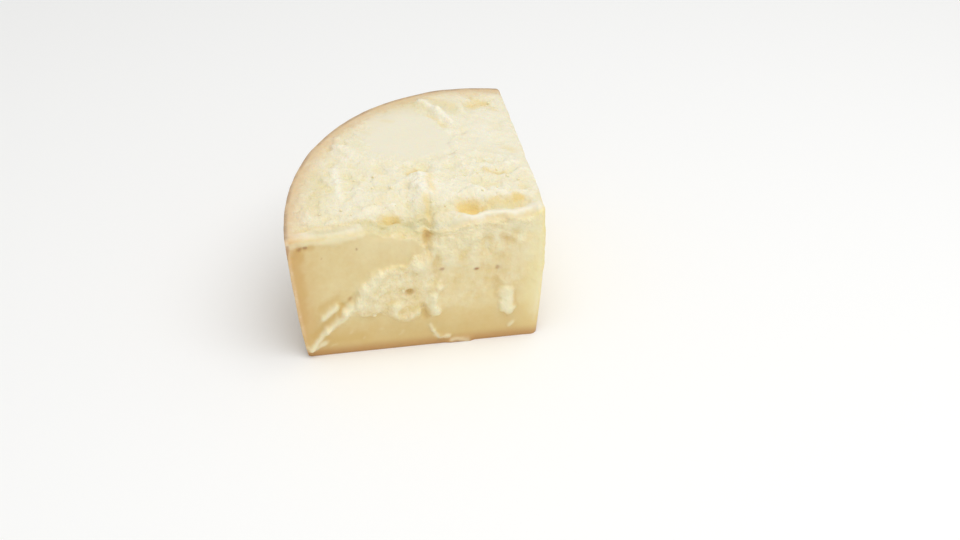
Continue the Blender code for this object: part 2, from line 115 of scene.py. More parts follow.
def applyModifier(piece, kind, **settings):
    deselectAll()
    piece.select_set(True)
    bpy.context.view_layer.objects.active = piece
    modifier = piece.modifiers.new(kind.lower(), kind)
    for name, value in settings.items():
        setattr(modifier, name, value)
    bpy.ops.object.modifier_apply(modifier=modifier.name)


def smoothStep(value):
    value = np.clip(value, 0.0, 1.0)
    return value * value * (3.0 - 2.0 * value)


def hashed(cells, seed):
    # one steady number from 0 to 1 for each whole-numbered cell
    cells = cells.astype(np.int64)
    mixed = cells[..., 0] * 374761393 + cells[..., 1] * 668265263 + cells[..., 2] * 2147483629
    mixed = (mixed + seed * 1274126177) & 0xFFFFFFFF
    mixed = ((mixed ^ (mixed >> 13)) * 1274126177) & 0xFFFFFFFF
    mixed = ((mixed ^ (mixed >> 15)) * 2246822519) & 0xFFFFFFFF
    return (mixed ^ (mixed >> 16)) / 4294967296.0


def softNoise(places, size, seed):
    # rolling noise, about -1 to 1
    at = places / size
    cell = np.floor(at)
    inCell = at - cell
    blend = smoothStep(inCell)
    total = np.zeros(len(at))
    for corner in np.ndindex(2, 2, 2):
        offset = np.array(corner)
        weight = np.prod(np.where(offset, blend, 1.0 - blend), axis=1)
        slope = np.stack([hashed(cell + offset, seed * 3 + k) for k in range(3)], axis=1) * 2.0 - 1.0
        total += weight * np.sum(slope * (inCell - offset), axis=1)
    return total * crumbling["noiseGain"]


def chipNoise(places, size, seed):
    # broken chips, each with its own height and tilt, and how far a place is from its chip's middle
    at = places / size
    cell = np.floor(at)
    nearest = np.full(len(at), np.inf)
    total = np.zeros(len(at))
    weights = np.zeros(len(at))
    for corner in np.ndindex(3, 3, 3):
        neighbour = cell + np.array(corner) - 1.0
        jitter = np.stack([hashed(neighbour, seed * 7 + k) for k in range(3)], axis=1)
        away = at - neighbour - jitter
        distance = np.linalg.norm(away, axis=1)
        tilt = np.stack([hashed(neighbour, seed * 7 + 3 + k) for k in range(3)], axis=1) * 2.0 - 1.0
        step = hashed(neighbour, seed * 7 + 6) * 2.0 - 1.0
        out = step * crumbling["chipStep"] + np.sum(tilt * away, axis=1) * crumbling["chipTilt"]
        weight = np.exp(-crumbling["chipCrispness"] * distance)
        total += weight * out
        weights += weight
        nearest = np.minimum(nearest, distance)
    return total / weights, nearest


def runDistance(points, start, end):
    # how far points on a face lie from the straight run between two others
    start, end = np.array(start) * mm, np.array(end) * mm
    run = end - start
    along = np.clip((points - start) @ run / max(run @ run, 1e-12), 0.0, 1.0)
    return np.linalg.norm(points - start - along[:, None] * run, axis=1)


def insideOutline(points, outline, soft):
    # 1 within an outline and 0 outside it, blended over the width soft
    corners = np.array(outline) * mm
    nearest = np.full(len(points), np.inf)
    crossings = np.zeros(len(points), dtype=int)
    for start, end in zip(corners, np.roll(corners, -1, axis=0)):
        nearest = np.minimum(nearest, runDistance(points, start / mm, end / mm))
        spans = (start[1] > points[:, 1]) != (end[1] > points[:, 1])
        rise = end[1] - start[1] if end[1] != start[1] else 1.0
        crossing = start[0] + (points[:, 1] - start[1]) / rise * (end[0] - start[0])
        crossings += spans & (crossing > points[:, 0])
    signed = np.where(crossings % 2 == 1, nearest, -nearest)
    return smoothStep(0.5 + signed / (soft * mm))


def runsHeight(points, runs):
    # summed height of rounded ridges; each is start, end, half width, height, in millimetres
    height = np.zeros(len(points))
    for start, end, halfWidth, crest in runs:
        away = runDistance(points, start, end) / (halfWidth * mm)
        height += crest * mm * np.exp(-(away**2))
    return height


def topHeight(out):
    reach = np.clip(np.linalg.norm(out, axis=1) / wheel["radius"], 0.0, 1.0)
    turn = np.where(reach > 0.0, np.arctan2(out[:, 1], -out[:, 0]) / (math.pi / 2.0), 0.0)
    rim = wheel["frontRimHeight"] + (wheel["backRimHeight"] - wheel["frontRimHeight"]) * turn
    rim = rim + wheel["crown"] * 4.0 * turn * (1.0 - turn)
    return wheel["apexHeight"] + (rim - wheel["apexHeight"]) * reach ** wheel["topPower"]


def heelRadius(height):
    level = wheel["frontRimHeight"]
    below = np.clip(level - height, 0.0, None) / level
    rounding = wheel["baseRounding"]
    short = np.clip(rounding - height, 0.0, rounding)
    drawnIn = rounding - np.sqrt(rounding**2 - short**2)
    return wheel["radius"] - wheel["undercut"] * below ** wheel["undercutPower"] - drawnIn


def sideLean(height):
    up = np.clip(height / wheel["apexHeight"], 0.0, 1.0)
    return wheel["sideBulge"] * np.sin(math.pi * up) - wheel["sideLean"] * (1.0 - up) ** wheel["leanPower"]


def roundEdge(first, second, radius):
    # rounds a square edge: first and second are depths in from its two faces
    inner = np.minimum(first, second)
    left = np.maximum(radius - inner, 1e-9)
    along = np.maximum(first, second) - inner
    turn = math.pi / 4.0 * (1.0 - np.clip(along / left, 0.0, 1.0))
    near, far = inner + left * (1.0 - np.cos(turn)), inner + left * (1.0 - np.sin(turn))
    firstFar = first > second
    rounded = along < left
    newFirst = np.where(rounded, np.where(firstFar, far, near), first)
    newSecond = np.where(rounded, np.where(firstFar, near, far), second)
    return newFirst, newSecond


def roundCorner(fromSide, fromFront, fromTop):
    # the cuts' shared upright edge, then the rim of the top all along it
    radius = wheel["apexRounding"]
    fromSide, fromFront = roundEdge(fromSide, fromFront, radius)
    sideways, forwards = np.maximum(radius - fromSide, 0.0), np.maximum(radius - fromFront, 0.0)
    reach = np.maximum(np.hypot(sideways, forwards), 1e-9)
    behind, along = wheel["rimRounding"]
    rimRadius = behind + (along - behind) * smoothStep(1.0 - fromFront / wheel["rimReach"])
    depth, fromTop = roundEdge(radius - reach, fromTop, rimRadius)
    pushed = (depth - radius + reach) / reach
    return fromSide + sideways * pushed, fromFront + forwards * pushed, fromTop


# Each face has zones of torn paste: an outline, how far it stands proud, how rough it is and how
# softly it ends. Ridges, grooves and chamfers are start, end, half width and height or depth. All
# are in millimetres.

# The knife cut that faces -Y, as x, z
frontFace = {
    "zones": [
        ([(-68, 62.5), (-40, 64.5), (-24, 67), (-15, 70), (-8, 84), (-68, 84)], 0.3, 0.25, 2.2),
        ([(2, 46), (-1, 76), (66, 80), (66, 50), (44, 40), (20, 44), (10, 32)], 0.7, 0.8, 8.0),
        ([(8, 22), (6, 50), (66, 60), (66, 26), (40, 28), (24, 20)], 0.4, 0.45, 10.0),
        (
            [(-24, 84), (-22, 71), (-16, 67.4), (-8, 65), (-1, 63), (1.5, 57), (1, 50), (14, 48), (18, 84)],
            0.3, 0.75, 6.0,
        ),
        (
            [(-38, 22), (-33.5, 29), (-29, 37), (-25, 43.5), (-19, 48), (-11, 49.5), (-4, 49), (-1, 52.5),
             (4, 53.5), (9, 45), (12.5, 36), (9, 29), (10, 21), (6, 17.5), (2, 23), (0, 17.5), (-5, 16),
             (-12, 20), (-20, 22), (-30, 21.5)],
            1.1, 1.0, 2.6,
        ),
        (
            [(41.3, 31.2), (39.6, 27.2), (39.3, 21.5), (41.2, 16.6), (44, 14.4), (46.5, 16.4), (48.2, 22.1),
             (46.8, 28.3), (45.1, 31.2)],
            1.5, 0.5, 2.0,
        ),
    ],
    "ridges": [
        ((-54.5, 4.8), (-45.4, 15.4), 1.8, 1.9), ((-45.4, 15.4), (-36, 24.4), 2.0, 1.9),
        ((-36, 24), (-32.5, 29), 2.6, 1.5), ((-53.4, 5), (-46.8, 7.8), 1.8, 1.1),
        ((-46.6, 22.6), (-40.4, 28), 2.1, 1.5), ((-29, 28), (-27, 36), 3.0, 1.5),
        ((-25.5, 38), (-19.5, 44), 3.0, 1.5), ((-18, 46), (-13, 47), 2.2, 0.9),
        ((-20, 32), (-18, 36), 3.0, 0.8), ((-12, 26), (-12, 22), 2.6, 1.4),
        ((-9.7, 19.4), (-4.5, 17.8), 1.9, 1.2), ((-4.2, 18.6), (0, 21.5), 1.9, 1.3),
        ((0, 48.2), (4.2, 48.6), 2.9, 1.5), ((2.5, 44), (3, 48), 2.6, 0.8),
        ((7.6, 30), (7.9, 20.5), 2.3, 1.6), ((40, 36), (43, 33), 1.6, 0.5),
        ((4, 36), (12, 34.2), 1.7, 0.8), ((-6.6, 40.6), (-7.6, 45), 1.9, 0.8),
        ((12, 54), (12, 70), 2.2, 1.0), ((16.6, 49), (16.4, 66), 2.8, 0.7),
        ((27.4, 45), (28, 61), 3.2, 0.8), ((51, 60), (53, 67), 3.0, 0.7),
        ((5.2, 12.5), (6.6, 8.6), 1.0, 0.9), ((6.6, 8.6), (10.4, 5.2), 1.1, 0.9),
        ((10.4, 5.2), (14.5, 4.2), 1.1, 0.8), ((44.2, 19.5), (44.2, 23), 2.8, 1.0),
        ((15.5, 1), (25, 1.2), 1.6, 1.0), ((45, 7), (47, 8.5), 1.2, 0.8),
        ((18, 69.5), (52, 71.5), 3.0, 0.6),
    ],
    "grooves": [
        ((5.2, 57), (5.0, 80), 2.3, 2.0), ((21.8, 54), (21.6, 68), 2.0, 0.4),
        ((34, 54), (33, 68), 2.4, 1.1), ((8.4, 50), (7.6, 43), 2.4, 0.9),
        ((37.5, 30), (39.5, 50), 2.6, 1.1), ((43, 56), (46, 62), 4.0, 1.0),
        ((-4.6, 33.1), (-4.0, 33.5), 2.0, 2.4), ((-38.4, 27), (-36.8, 29.6), 1.8, 0.8),
        ((3, 24), (3.4, 18.5), 2.0, 1.5), ((-17.5, 23), (-16.5, 25), 2.4, 0.8),
        ((8, 38.5), (9, 42), 2.4, 0.6), ((-32.5, 33), (-31.5, 35), 0.9, 0.6),
        ((-57, 63.5), (-54.5, 64), 1.3, 0.9), ((-58, 66), (-59, 58), 1.2, 0.6),
        ((57, 52), (59, 66), 2.6, 0.7),
    ],
    "chamfers": [
        ((-66, 74), (-24, 76.5), 4.6, 2.2), ((-20, 76), (-9, 75), 6.0, 4.0),
        ((-9, 75), (2, 74), 6.0, 2.6),
    ],
    "wander": 0.9,
    "recess": 0.6,
    "chipDepth": 1.0,
    "seed": 20,
}

# The split top, as x, y
topFace = {
    "zones": [
        ([(-80, -80), (-80, 80), (80, 80), (80, -80)], 0.0, 1.0, 2.0),
        ([(30, -12), (32, 30), (40, 40), (60, 36), (64, -20), (50, -16)], 0.0, 0.4, 10.0),
        (
            [(16.5, 48), (18.4, 41), (24, 33), (30, 23), (36, 27), (39, 40), (40, 56), (24, 62)],
            0.9, 0.5, 4.0,
        ),
        ([(14, -66), (17, -58), (40, -57.5), (66, -56), (66, -66)], 0.0, 0.2, 2.4),
        ([(-66, -66), (-66, -61), (-26, -60.5), (-22, -66)], 0.0, 0.25, 2.4),
        (
            [(0.5, -52), (0, -36), (0.5, -26), (4, -23.5), (11, -24.5), (18, -30), (31, -35), (36, -43),
             (20, -48), (11, -52)],
            1.0, 0.9, 3.2,
        ),
    ],
    # an outline, how much calmer it is inside, and how softly it ends
    "smooth": (
        [(-20, 2), (-13, -8), (0, -12), (14, -13), (26, -10), (29, 2), (27, 16), (20, 36), (4, 45),
         (-14, 32)],
        0.9, 14.0,
    ),
    "ridges": [
        ((16.6, 45), (17.7, 42.3), 2.4, 0.9), ((17.7, 42.3), (23.9, 34.4), 2.8, 1.5),
        ((23.9, 34.4), (30, 22.8), 2.6, 1.4), ((36, 40), (38.4, 33), 2.4, 0.7),
        ((9, -44), (6.5, -29), 5.0, 1.6), ((20, -60.4), (52, -60), 3.0, 0.7),
        ((30, -47), (50, -45), 4.0, 1.0), ((-34.4, -38), (-34.6, -15), 2.2, 0.8),
        ((-30, 4), (-14, -10), 3.0, 0.7), ((38, -8), (54, -14), 3.0, 0.8),
    ],
    "grooves": [
        ((24, -52.8), (29, -53.2), 4.2, 3.6), ((29, -54.4), (53, -54.2), 3.9, 2.8),
        ((-48, -62.6), (-30, -62.2), 1.3, 0.7), ((-15.5, -58.6), (-9.4, -56.2), 4.4, 3.0),
        ((6, -66), (8.5, -44), 1.7, 1.1), ((-3.5, -50), (-2, -26), 2.4, 0.5),
        ((2.5, -21), (9, -21.5), 2.0, 2.2), ((43.2, 42.4), (49.2, 45.4), 4.4, 1.1),
        ((52, 40), (55, 37.4), 2.6, 0.5), ((33, 12), (35, 14), 1.8, 1.0),
        ((23, -7), (24.5, -16), 1.8, 0.8), ((43, -27), (46, -27.5), 2.6, 1.2),
        ((18.6, 33.4), (26.4, 19), 2.4, 0.5), ((-15, -18.4), (-11.6, -21), 2.0, 0.5),
    ],
    "saddle": (-1.0, 20.0, 14.0, 4.4),  # x, reach along the edge, reach inwards, depth
    "chamfers": [((18, -63), (53, -63), 5.5, 2.8)],
    "wander": 0.5,
    "recess": 0.0,
    "chipDepth": 1.15,
    "rindWidth": 5.5 * mm,
    "rindStart": 0.4,  # of that width, where the paste starts to be torn
    "rindShare": 0.3,  # how torn it is at the rind
    "seed": 40,
}

# The knife cut that faces +X, as y, z
sideFace = {
    "zones": [
        (
            [(-70, 35), (-50, 37), (-32, 42), (-14, 35), (5, 27), (20, 32), (33, 34), (50, 46), (70, 58),
             (70, 90), (-70, 90)],
            1.0, 0.9, 3.0,
        ),
    ],
    "ridges": [
        ((-52, 37), (-31, 41), 2.8, 0.9), ((-30, 40.5), (4, 28), 2.6, 1.1),
        ((10, 29), (38, 37), 2.4, 0.9),
    ],
    "grooves": [
        ((-15, 46), (-12, 74), 3.2, 2.0), ((23, 52), (30, 70), 2.8, 1.5),
        ((-40, 55), (-36, 66), 3.0, 1.2),
    ],
    "chamfers": [],
    "wander": 0.9,
    "recess": 0.6,
    "chipDepth": 0.95,
    "upperCalm": (56 * mm, 16 * mm, 0.85),  # start, length and share, as the wheel's apexCalm
    "seed": 30,
}


# Colour marks on the faces: start, end, radius and strength. The stains are partly the paste's own stains
# and partly painted shade in grooves and beside ridges; the shades are painted shade; the pale marks are
# partly paler paste and partly painted highlight.
spots = {
    "front": [
        ((11.6, 45.3), (12.1, 45.3), 1.15, 0.6), ((28.2, 43.7), (28.8, 43.3), 1.2, 0.9),
        ((39, 42.4), (39, 42), 1.15, 0.55), ((-33.8, 32.5), (-33.4, 33), 1.0, 0.5),
        ((-29.4, 60.5), (-29.4, 61), 0.7, 0.6), ((-46, 57), (-46, 57.3), 0.6, 0.4),
        ((-56.8, 62.8), (-55.8, 63.5), 1.0, 0.6), ((-53.9, 64), (-53, 64.4), 0.9, 0.75),
        ((-62.2, 58), (-62, 66), 0.9, 0.6), ((5.1, 64), (5.1, 68), 1.5, 0.35),
    ],
    "top": [
        ((34, 10.4), (34.8, 11), 1.2, 0.3), ((25.1, 1.6), (25.6, 2), 1.1, 0.25),
        ((24.8, -8.2), (27, -9.2), 1.0, 0.3), ((2.8, -22), (5.6, -21.6), 1.1, 0.3),
        ((-46, -48.4), (-45, -49), 1.3, 0.3),
    ],
    "side": [
        ((12, 50), (12.4, 50), 1.1, 0.6), ((-28, 24), (-28, 24.4), 0.9, 0.5),
        ((38, 44), (38.4, 44), 1.0, 0.6),
    ],
}
# stains and painted shade: warm stains near the heel, and painted shade in grooves, hollows and beside
# ridges
stainsAndPaintedShade = {
    "front": [
        ((-57.4, 62), (-59, 53), 3.6, 1.1), ((-54, 63.4), (-50.5, 64.2), 2.0, 0.9),
        ((-58.6, 56), (-57, 22), 4.2, 0.9), ((-52, 54), (-51, 30), 5.0, 0.35),
        ((-58.5, 26), (-57.2, 2), 2.6, 0.5), ((-4.6, 33.1), (-4, 33.5), 2.4, 1.0),
        ((5, 71), (5.1, 62), 2.6, 0.9), ((5.1, 62), (4.6, 48), 2.3, 0.5), ((42, 61), (45, 58), 3.2, 0.6),
        ((36.5, 36), (38, 32), 3.0, 0.4), ((38, 67.2), (38, 68), 1.6, 0.8),
        ((-38.4, 27.4), (-37.2, 29.2), 1.7, 1.0), ((38.7, 33.6), (38.9, 36), 1.5, 0.5),
        ((32.8, 34), (32.9, 36.5), 1.4, 0.4), ((8.4, 52), (7.4, 44), 2.6, 0.4),
        ((34, 60), (33.4, 66), 2.6, 0.35), ((-58, 2), (-46, 1), 2.6, 0.8),
        ((-33, 34), (-40, 26), 1.2, 0.6), ((-42, 23), (-52, 12.8), 2.5, 0.85),
        ((-50.5, 25), (-49.5, 23), 3.0, 0.6), ((-38, 29), (-39.2, 24.2), 1.9, 0.95),
        ((-48, 27.5), (-39, 33), 3.4, 0.7), ((-20, 71), (-2, 68.4), 4.0, 0.25),
        ((-26, 1.5), (34, 2.5), 5.0, 0.3), ((3, 24), (3.6, 18), 2.2, 0.6),
        ((-18, 23), (-15, 23.5), 2.4, 0.5), ((39, 25), (40, 34), 1.6, 0.4),
        ((49, 18), (48.6, 27), 1.6, 0.5), ((-30, 14), (-6, 11), 4.0, 0.2), ((-46, 9), (-28, 9), 4.4, 0.6),
        ((-52, 28), (-50, 13), 4.4, 0.55), ((-27, 24), (-19, 24), 3.0, 0.4),
        ((34, 67), (46, 66), 5.0, 0.4),
    ],
    "top": [
        ((23.6, -52.4), (28, -52.4), 4.2, 1.1), ((29, -52.2), (47, -51), 2.0, 0.65),
        ((49, -51.2), (52, -50.6), 2.7, 1.1), ((-17.4, -57), (-13, -55.4), 2.8, 0.6),
        ((-12.6, -54.8), (-9.2, -53.8), 3.4, 1.2), ((43.4, 42.6), (49.2, 45.6), 4.4, 0.75),
        ((44.6, 49.6), (45, 50.6), 2.2, 0.5), ((53, 39.6), (55, 37), 2.8, 0.5),
        ((40.4, -26.4), (47.6, -28.4), 2.8, 0.75), ((20, 31.6), (27, 18), 2.2, 0.5),
        ((16.4, 43), (18.4, 37), 1.6, 0.4), ((7, -46), (7, -60), 2.6, 0.65),
        ((2.4, -22.6), (6.4, -21.4), 2.4, 0.8), ((53, -4), (57, -7), 3.0, 0.45),
        ((33.4, 10), (34.2, 17), 1.8, 0.3), ((-14.6, -18), (-12, -21), 2.4, 0.4),
        ((-2.6, -50), (-1.2, -30), 1.6, 0.35), ((-5, 26.8), (-0.4, 25.4), 1.8, 0.4),
        ((-17.4, 19), (-13.4, 14.8), 1.6, 0.3), ((54, -44), (58, -30), 3.0, 0.3),
        ((36, -40), (54, -36), 2.6, 0.3), ((-42, -36), (-41, -20), 5.0, 0.25),
        ((-24, -60), (-2, -57), 5.0, 0.3), ((-54, -59.5), (-28, -59.5), 3.4, 0.55),
        ((2, -56), (14, -56), 4.0, 0.45), ((-50, -51), (-10, -51), 6.0, 0.2),
        ((17, -63.4), (56, -63.2), 1.9, 0.8), ((2, 51), (34, 53), 6.0, 0.35),
        ((8, 41), (18, 47), 5.0, 0.25), ((22, 47), (33, 40), 5.0, 0.45),
        ((-50, -46), (-42, -30), 6.0, 0.35), ((-22, -48), (-14, -42), 4.0, 0.35),
        ((10.4, -27), (10.6, -42), 2.8, 0.65), ((6, 42), (36, 34), 7.0, 0.2),
        ((-26, 20), (-16, 20), 6.0, 0.14), ((50, -56), (54, -54), 4.0, 0.4),
    ],
    "side": [
        ((-13, 56), (-12, 66), 3.0, 0.6), ((24, 56), (28, 66), 3.0, 0.6),
        ((-39, 56), (-37, 64), 2.6, 0.4),
    ],
}
shades = {
    "front": [
        ((-22, 72), (10, 70), 3.6, 0.6), ((-16, 9), (30, 9), 4.0, 0.2), ((12, 70), (20, 70), 3.0, 0.3),
    ],
    "top": [
        ((-50, -62.5), (-34, -62.5), 1.4, 0.5), ((-24, -61), (4, -60), 4.0, 0.8),
        ((-2, -62), (8, -52), 5.0, 0.6), ((8, -60), (20, -62), 3.0, 0.5), ((6, 44), (34, 36), 7.0, 0.45),
        ((-8, 36), (8, 42), 6.0, 0.25), ((-26, 20), (-22, 4), 6.0, 0.2),
        ((-44, -20), (-46, -40), 6.0, 0.3), ((38, -53.8), (50, -53.4), 2.2, 0.5),
    ],
    "side": [],
}
# pale marks: paler paste on flakes and ridges, and painted highlight along the cuts' shared edge and over
# the upper right of the front cut
palesAndHighlights = {
    "front": [
        ((-62, 66.4), (-46, 66.8), 2.4, 0.5), ((-46, 66.8), (-26, 68.6), 2.4, 0.65),
        ((21, 69), (23, 58), 4.2, 0.7), ((43.8, 19.5), (43.9, 25.4), 3.6, 1.0),
        ((43.6, 25), (43.4, 29.6), 2.6, 0.8), ((-54, 5.4), (-45.4, 15.4), 1.8, 0.85),
        ((-45.4, 15), (-36.6, 22.4), 1.8, 0.75), ((-36, 24), (-33, 28), 2.4, 0.9),
        ((-53.4, 5), (-46.8, 7.8), 1.8, 0.7), ((-51, 8.5), (-49, 9.5), 1.6, 0.4),
        ((-46.6, 22.6), (-40.6, 27.8), 1.8, 0.75), ((22, 66), (60, 68), 7.0, 0.6),
        ((50, 46), (60, 56), 7.0, 0.5), ((48, 68), (59, 62), 5.0, 0.8), ((51, 60), (53, 67), 3.0, 0.6),
        ((12, 56), (12, 69), 2.0, 0.5), ((16.6, 48), (16.4, 66), 3.6, 0.5),
        ((27.6, 45), (28, 60), 4.0, 0.55), ((22, 36), (24, 40), 3.0, 0.25),
        ((17, 28), (19, 31), 3.0, 0.25), ((31, 22), (34, 24), 3.0, 0.25), ((40, 50), (41, 54), 3.0, 0.3),
        ((-29, 29), (-27, 36), 2.6, 0.5), ((-25, 38.5), (-19.5, 44), 2.6, 0.5),
        ((-12, 26), (-12, 22), 2.4, 0.6), ((0, 48.2), (4.2, 48.6), 2.6, 0.6),
        ((7.6, 30), (7.9, 20.5), 2.2, 0.7), ((5.2, 12.5), (6.2, 8.5), 1.1, 0.6),
        ((6.2, 8.5), (9.5, 5.2), 1.1, 0.8), ((9.5, 5.2), (14.5, 4.2), 1.2, 0.7),
        ((45, 7), (47, 8.5), 1.3, 0.6), ((-24, 62), (-6, 62), 10.0, 0.3),
        ((60.5, 14), (62, 66), 5.0, 0.55), ((16, 1.4), (24, 1.4), 1.4, 0.55),
        ((-34, 12), (-33.4, 12.4), 1.1, 0.3), ((-20, 12), (-19, 12.2), 1.2, 0.3),
        ((-28, 8), (-27.4, 8.4), 1.0, 0.3), ((-9, 9), (-8, 9.6), 1.1, 0.3),
        ((-43, 5), (-42, 5.4), 1.2, 0.3),
    ],
    "top": [
        ((17.2, 43.4), (23.9, 34.4), 2.4, 0.65), ((23.9, 34.4), (30, 22.8), 2.2, 0.6),
        ((36, 40), (38.4, 33), 2.4, 0.4), ((8.4, -26.6), (6, -31), 3.4, 0.7),
        ((10, -34), (24, -38), 5.0, 0.3), ((46, 16), (52, 6), 9.0, 0.35),
        ((-34.4, -38), (-34.6, -15), 2.2, 0.6),
    ],
    "side": [
        ((-48, 38), (-31, 41), 2.6, 0.7), ((-30, 40.5), (4, 28), 2.4, 0.7),
        ((10, 29), (38, 37), 2.4, 0.6),
    ],
}

# How the marks of all faces are broken up
patches = {
    "coarse": (3.4 * mm, 21),  # size and seed
    "fine": (1.6 * mm, 22),
    "fineShare": 0.6,
    "depth": 0.45,  # how far they reach into a mark
    "wander": 1.6,
    "spotShare": 0.3,  # of that, as spots keep their places better
}


def markStrength(points, marks, patchy):
    # soft-edged marks, broken up by the patchy noise
    strength = np.zeros(len(points))
    for start, end, radius, share in marks:
        away = runDistance(points, start, end) / (radius * mm)
        faded = share * np.exp(-(away**2) * (1.0 - patches["depth"] * patchy))
        strength = np.maximum(strength, faded)
    return strength


def wandering(places, size, seeds):
    return np.stack([softNoise(places, size, seed) for seed in seeds], axis=1)


def ragged(points, places, amount):
    # points moved about by some millimetres, so that outlines come out torn
    wander = wandering(places, *crumbling["wander"])
    fine = wandering(places, *crumbling["fineWander"])
    return points + (wander + fine * crumbling["fineShare"]) * amount * mm


def crumble(places, seed):
    # torn paste, about -1 to 1: broad chips that are covered in smaller ones and in grains
    bigSize, bigShare = crumbling["bigChip"]
    rollSize, rollShare = crumbling["roll"]
    smallSize, smallShare = crumbling["smallChip"]
    grainSize, grainTop, grainFall = crumbling["grain"]
    patchSize, patchMiddle, patchSwing, patchMost = crumbling["patch"]
    big, roll = chipNoise(places, bigSize, seed)[0], softNoise(places, rollSize, seed + 3)
    small, grain = chipNoise(places, smallSize, seed + 1)[0], chipNoise(places, grainSize, seed + 2)[1]
    patchy = np.clip(patchMiddle + patchSwing * softNoise(places, patchSize, seed + 4), 0.0, patchMost)
    coarse = bigShare * big + rollShare * roll
    return coarse + (smallShare * small + patchy * (grainTop - grainFall * grain))


def grown(distance, reach, share):
    # from a share where the distance is nothing to the whole at its reach
    return share + (1.0 - share) * smoothStep(distance / reach)


def calmed(distance, start, length, share):
    # from the whole before the start to what is left past its length
    return 1.0 - share * smoothStep((distance - start) / length)


def faceRelief(face, points, places, firm=1.0):
    # how far a face stands out, how torn it is, how deep it is hollowed and how high it is raised
    torn = np.zeros(len(points))
    proud = np.zeros(len(points))
    wandered = ragged(points, places, crumbling["zoneWander"])
    for outline, height, rough, soft in face["zones"]:
        share = insideOutline(wandered, outline, soft)
        proud = np.maximum(proud, share * height)
        torn = torn * (1.0 - share) + share * rough
    if "smooth" in face:
        outline, calm, soft = face["smooth"]
        torn *= 1.0 - calm * insideOutline(ragged(points, places, crumbling["smoothWander"]), outline, soft)
    torn *= firm
    runs = ragged(points, places, face["wander"])
    ridges, hollow = runsHeight(runs, face["ridges"]), runsHeight(runs, face["grooves"])
    chips = torn * face["chipDepth"] * mm * crumble(places, face["seed"])
    relief = proud * mm - face["recess"] * mm + ridges - hollow
    relief = relief - runsHeight(points, face["chamfers"]) + chips
    return relief, torn, hollow, ridges + proud * mm * crumbling["raisedShare"] + chips


def frontRelief(places):
    # calmer near the cuts' shared edge
    relief, torn, hollow, crest = faceRelief(frontFace, places[:, [0, 2]], places)
    relief *= calmed(places[:, 0], *wheel["apexCalm"])
    return relief, torn, hollow, crest


def sideRelief(places):
    # calmer near the top and the cuts' shared edge, so that both edges stay straight
    relief, torn, hollow, crest = faceRelief(sideFace, places[:, [1, 2]], places)
    relief *= calmed(places[:, 2], *sideFace["upperCalm"])
    relief *= calmed(-places[:, 1], *wheel["apexCalm"])
    return relief, torn, hollow, crest


def topRelief(places, toRim):
    # calmer near the rim and the side cut, and broken away over the middle of the front cut
    firm = grown(toRim / topFace["rindWidth"] - topFace["rindStart"], 1.0, topFace["rindShare"])
    relief, torn, hollow, crest = faceRelief(topFace, places[:, [0, 1]], places, firm)
    relief *= grown(toRim, *wheel["heelRim"])
    relief *= grown(wheel["apex"][0] - places[:, 0], *wheel["sideRim"])
    middle, along, inwards, depth = topFace["saddle"]
    across = (places[:, 0] / mm - middle) / along
    toFront = (places[:, 1] - wheel["apex"][1]) / mm / inwards
    broken = np.exp(-(across**4) - toFront**2)
    return relief - depth * mm * broken, torn, hollow, crest


def meshPlaces(mesh):
    places = np.empty(len(mesh.vertices) * 3)
    mesh.vertices.foreach_get("co", places)
    return places.reshape(-1, 3)


def addBlock():
    # a unit cube, subdivided one direction at a time as loop cuts would
    bpy.ops.mesh.primitive_cube_add(size=1.0, location=(0, 0, 0))
    block = bpy.context.object
    block.name = "wedge"
    block.data.name = "wedge"
    for axis, steps in enumerate((grid["across"], grid["across"], grid["up"])):
        length = 1.0
        for pieces in steps:
            editOnly(block)
            bpy.ops.mesh.select_all(action="DESELECT")
            bpy.ops.mesh.select_mode(type="EDGE")
            bpy.ops.object.mode_set(mode="OBJECT")
            mesh = block.data
            places = meshPlaces(mesh)
            ends = np.empty(len(mesh.edges) * 2, dtype=np.int32)
            mesh.edges.foreach_get("vertices", ends)
            ends = ends.reshape(-1, 2)
            runs = np.abs(places[ends[:, 0], axis] - places[ends[:, 1], axis])
            mesh.edges.foreach_set("select", (runs > length * 0.5))
            bpy.ops.object.mode_set(mode="EDIT")
            bpy.ops.mesh.subdivide(number_cuts=pieces - 1)
            bpy.ops.object.mode_set(mode="OBJECT")
            length /= pieces
    return block


def keepMask(mesh, name, values):
    mask = mesh.attributes.new(name, "FLOAT", "POINT")
    mask.data.foreach_set("value", values.astype(np.float32))


def carried(depth):
    # each face's relief reaches a little way round its edges
    return 1.0 - smoothStep(depth / wheel["reliefReach"])


def nearFace(relief, depth, *values):
    # a face's relief and marks, which are nothing further in from it than the relief reaches
    near = np.flatnonzero(depth < wheel["reliefReach"])
    found = relief(*(value[near] for value in values))
    whole = np.zeros((len(found), len(depth)))
    whole[:, near] = found
    whole[0] *= carried(depth)
    return whole


def keepMarks(mesh, places, marks, shares):
    # how torn, hollowed and raised the paste is, then its spots, its stains with painted shade, its painted
    # shade, and its pale marks with painted highlight
    for number, name, unit in ((1, "torn", 1.0), (2, "hollow", mm), (3, "crest", mm)):
        values = sum(marks[face][number] * share for face, share in shares.items())
        keepMask(mesh, name, values / unit)
    wander = ragged(places[:, :2], places, patches["wander"]) - places[:, :2]
    coarse, fine = softNoise(places, *patches["coarse"]), softNoise(places, *patches["fine"])
    patchy = np.clip(coarse + patches["fineShare"] * fine, -1.0, 1.0)
    for name, listed in (("spot", spots), ("stain", stainsAndPaintedShade), ("shade", shades), ("pale", palesAndHighlights)):
        moved = wander * patches["spotShare"] if name == "spot" else wander
        strength = np.zeros(len(places))
        for face, axes in (("front", [0, 2]), ("top", [0, 1]), ("side", [1, 2])):
            strength += markStrength(places[:, axes] + moved, listed[face], patchy) * shares[face]
        keepMask(mesh, name, strength)


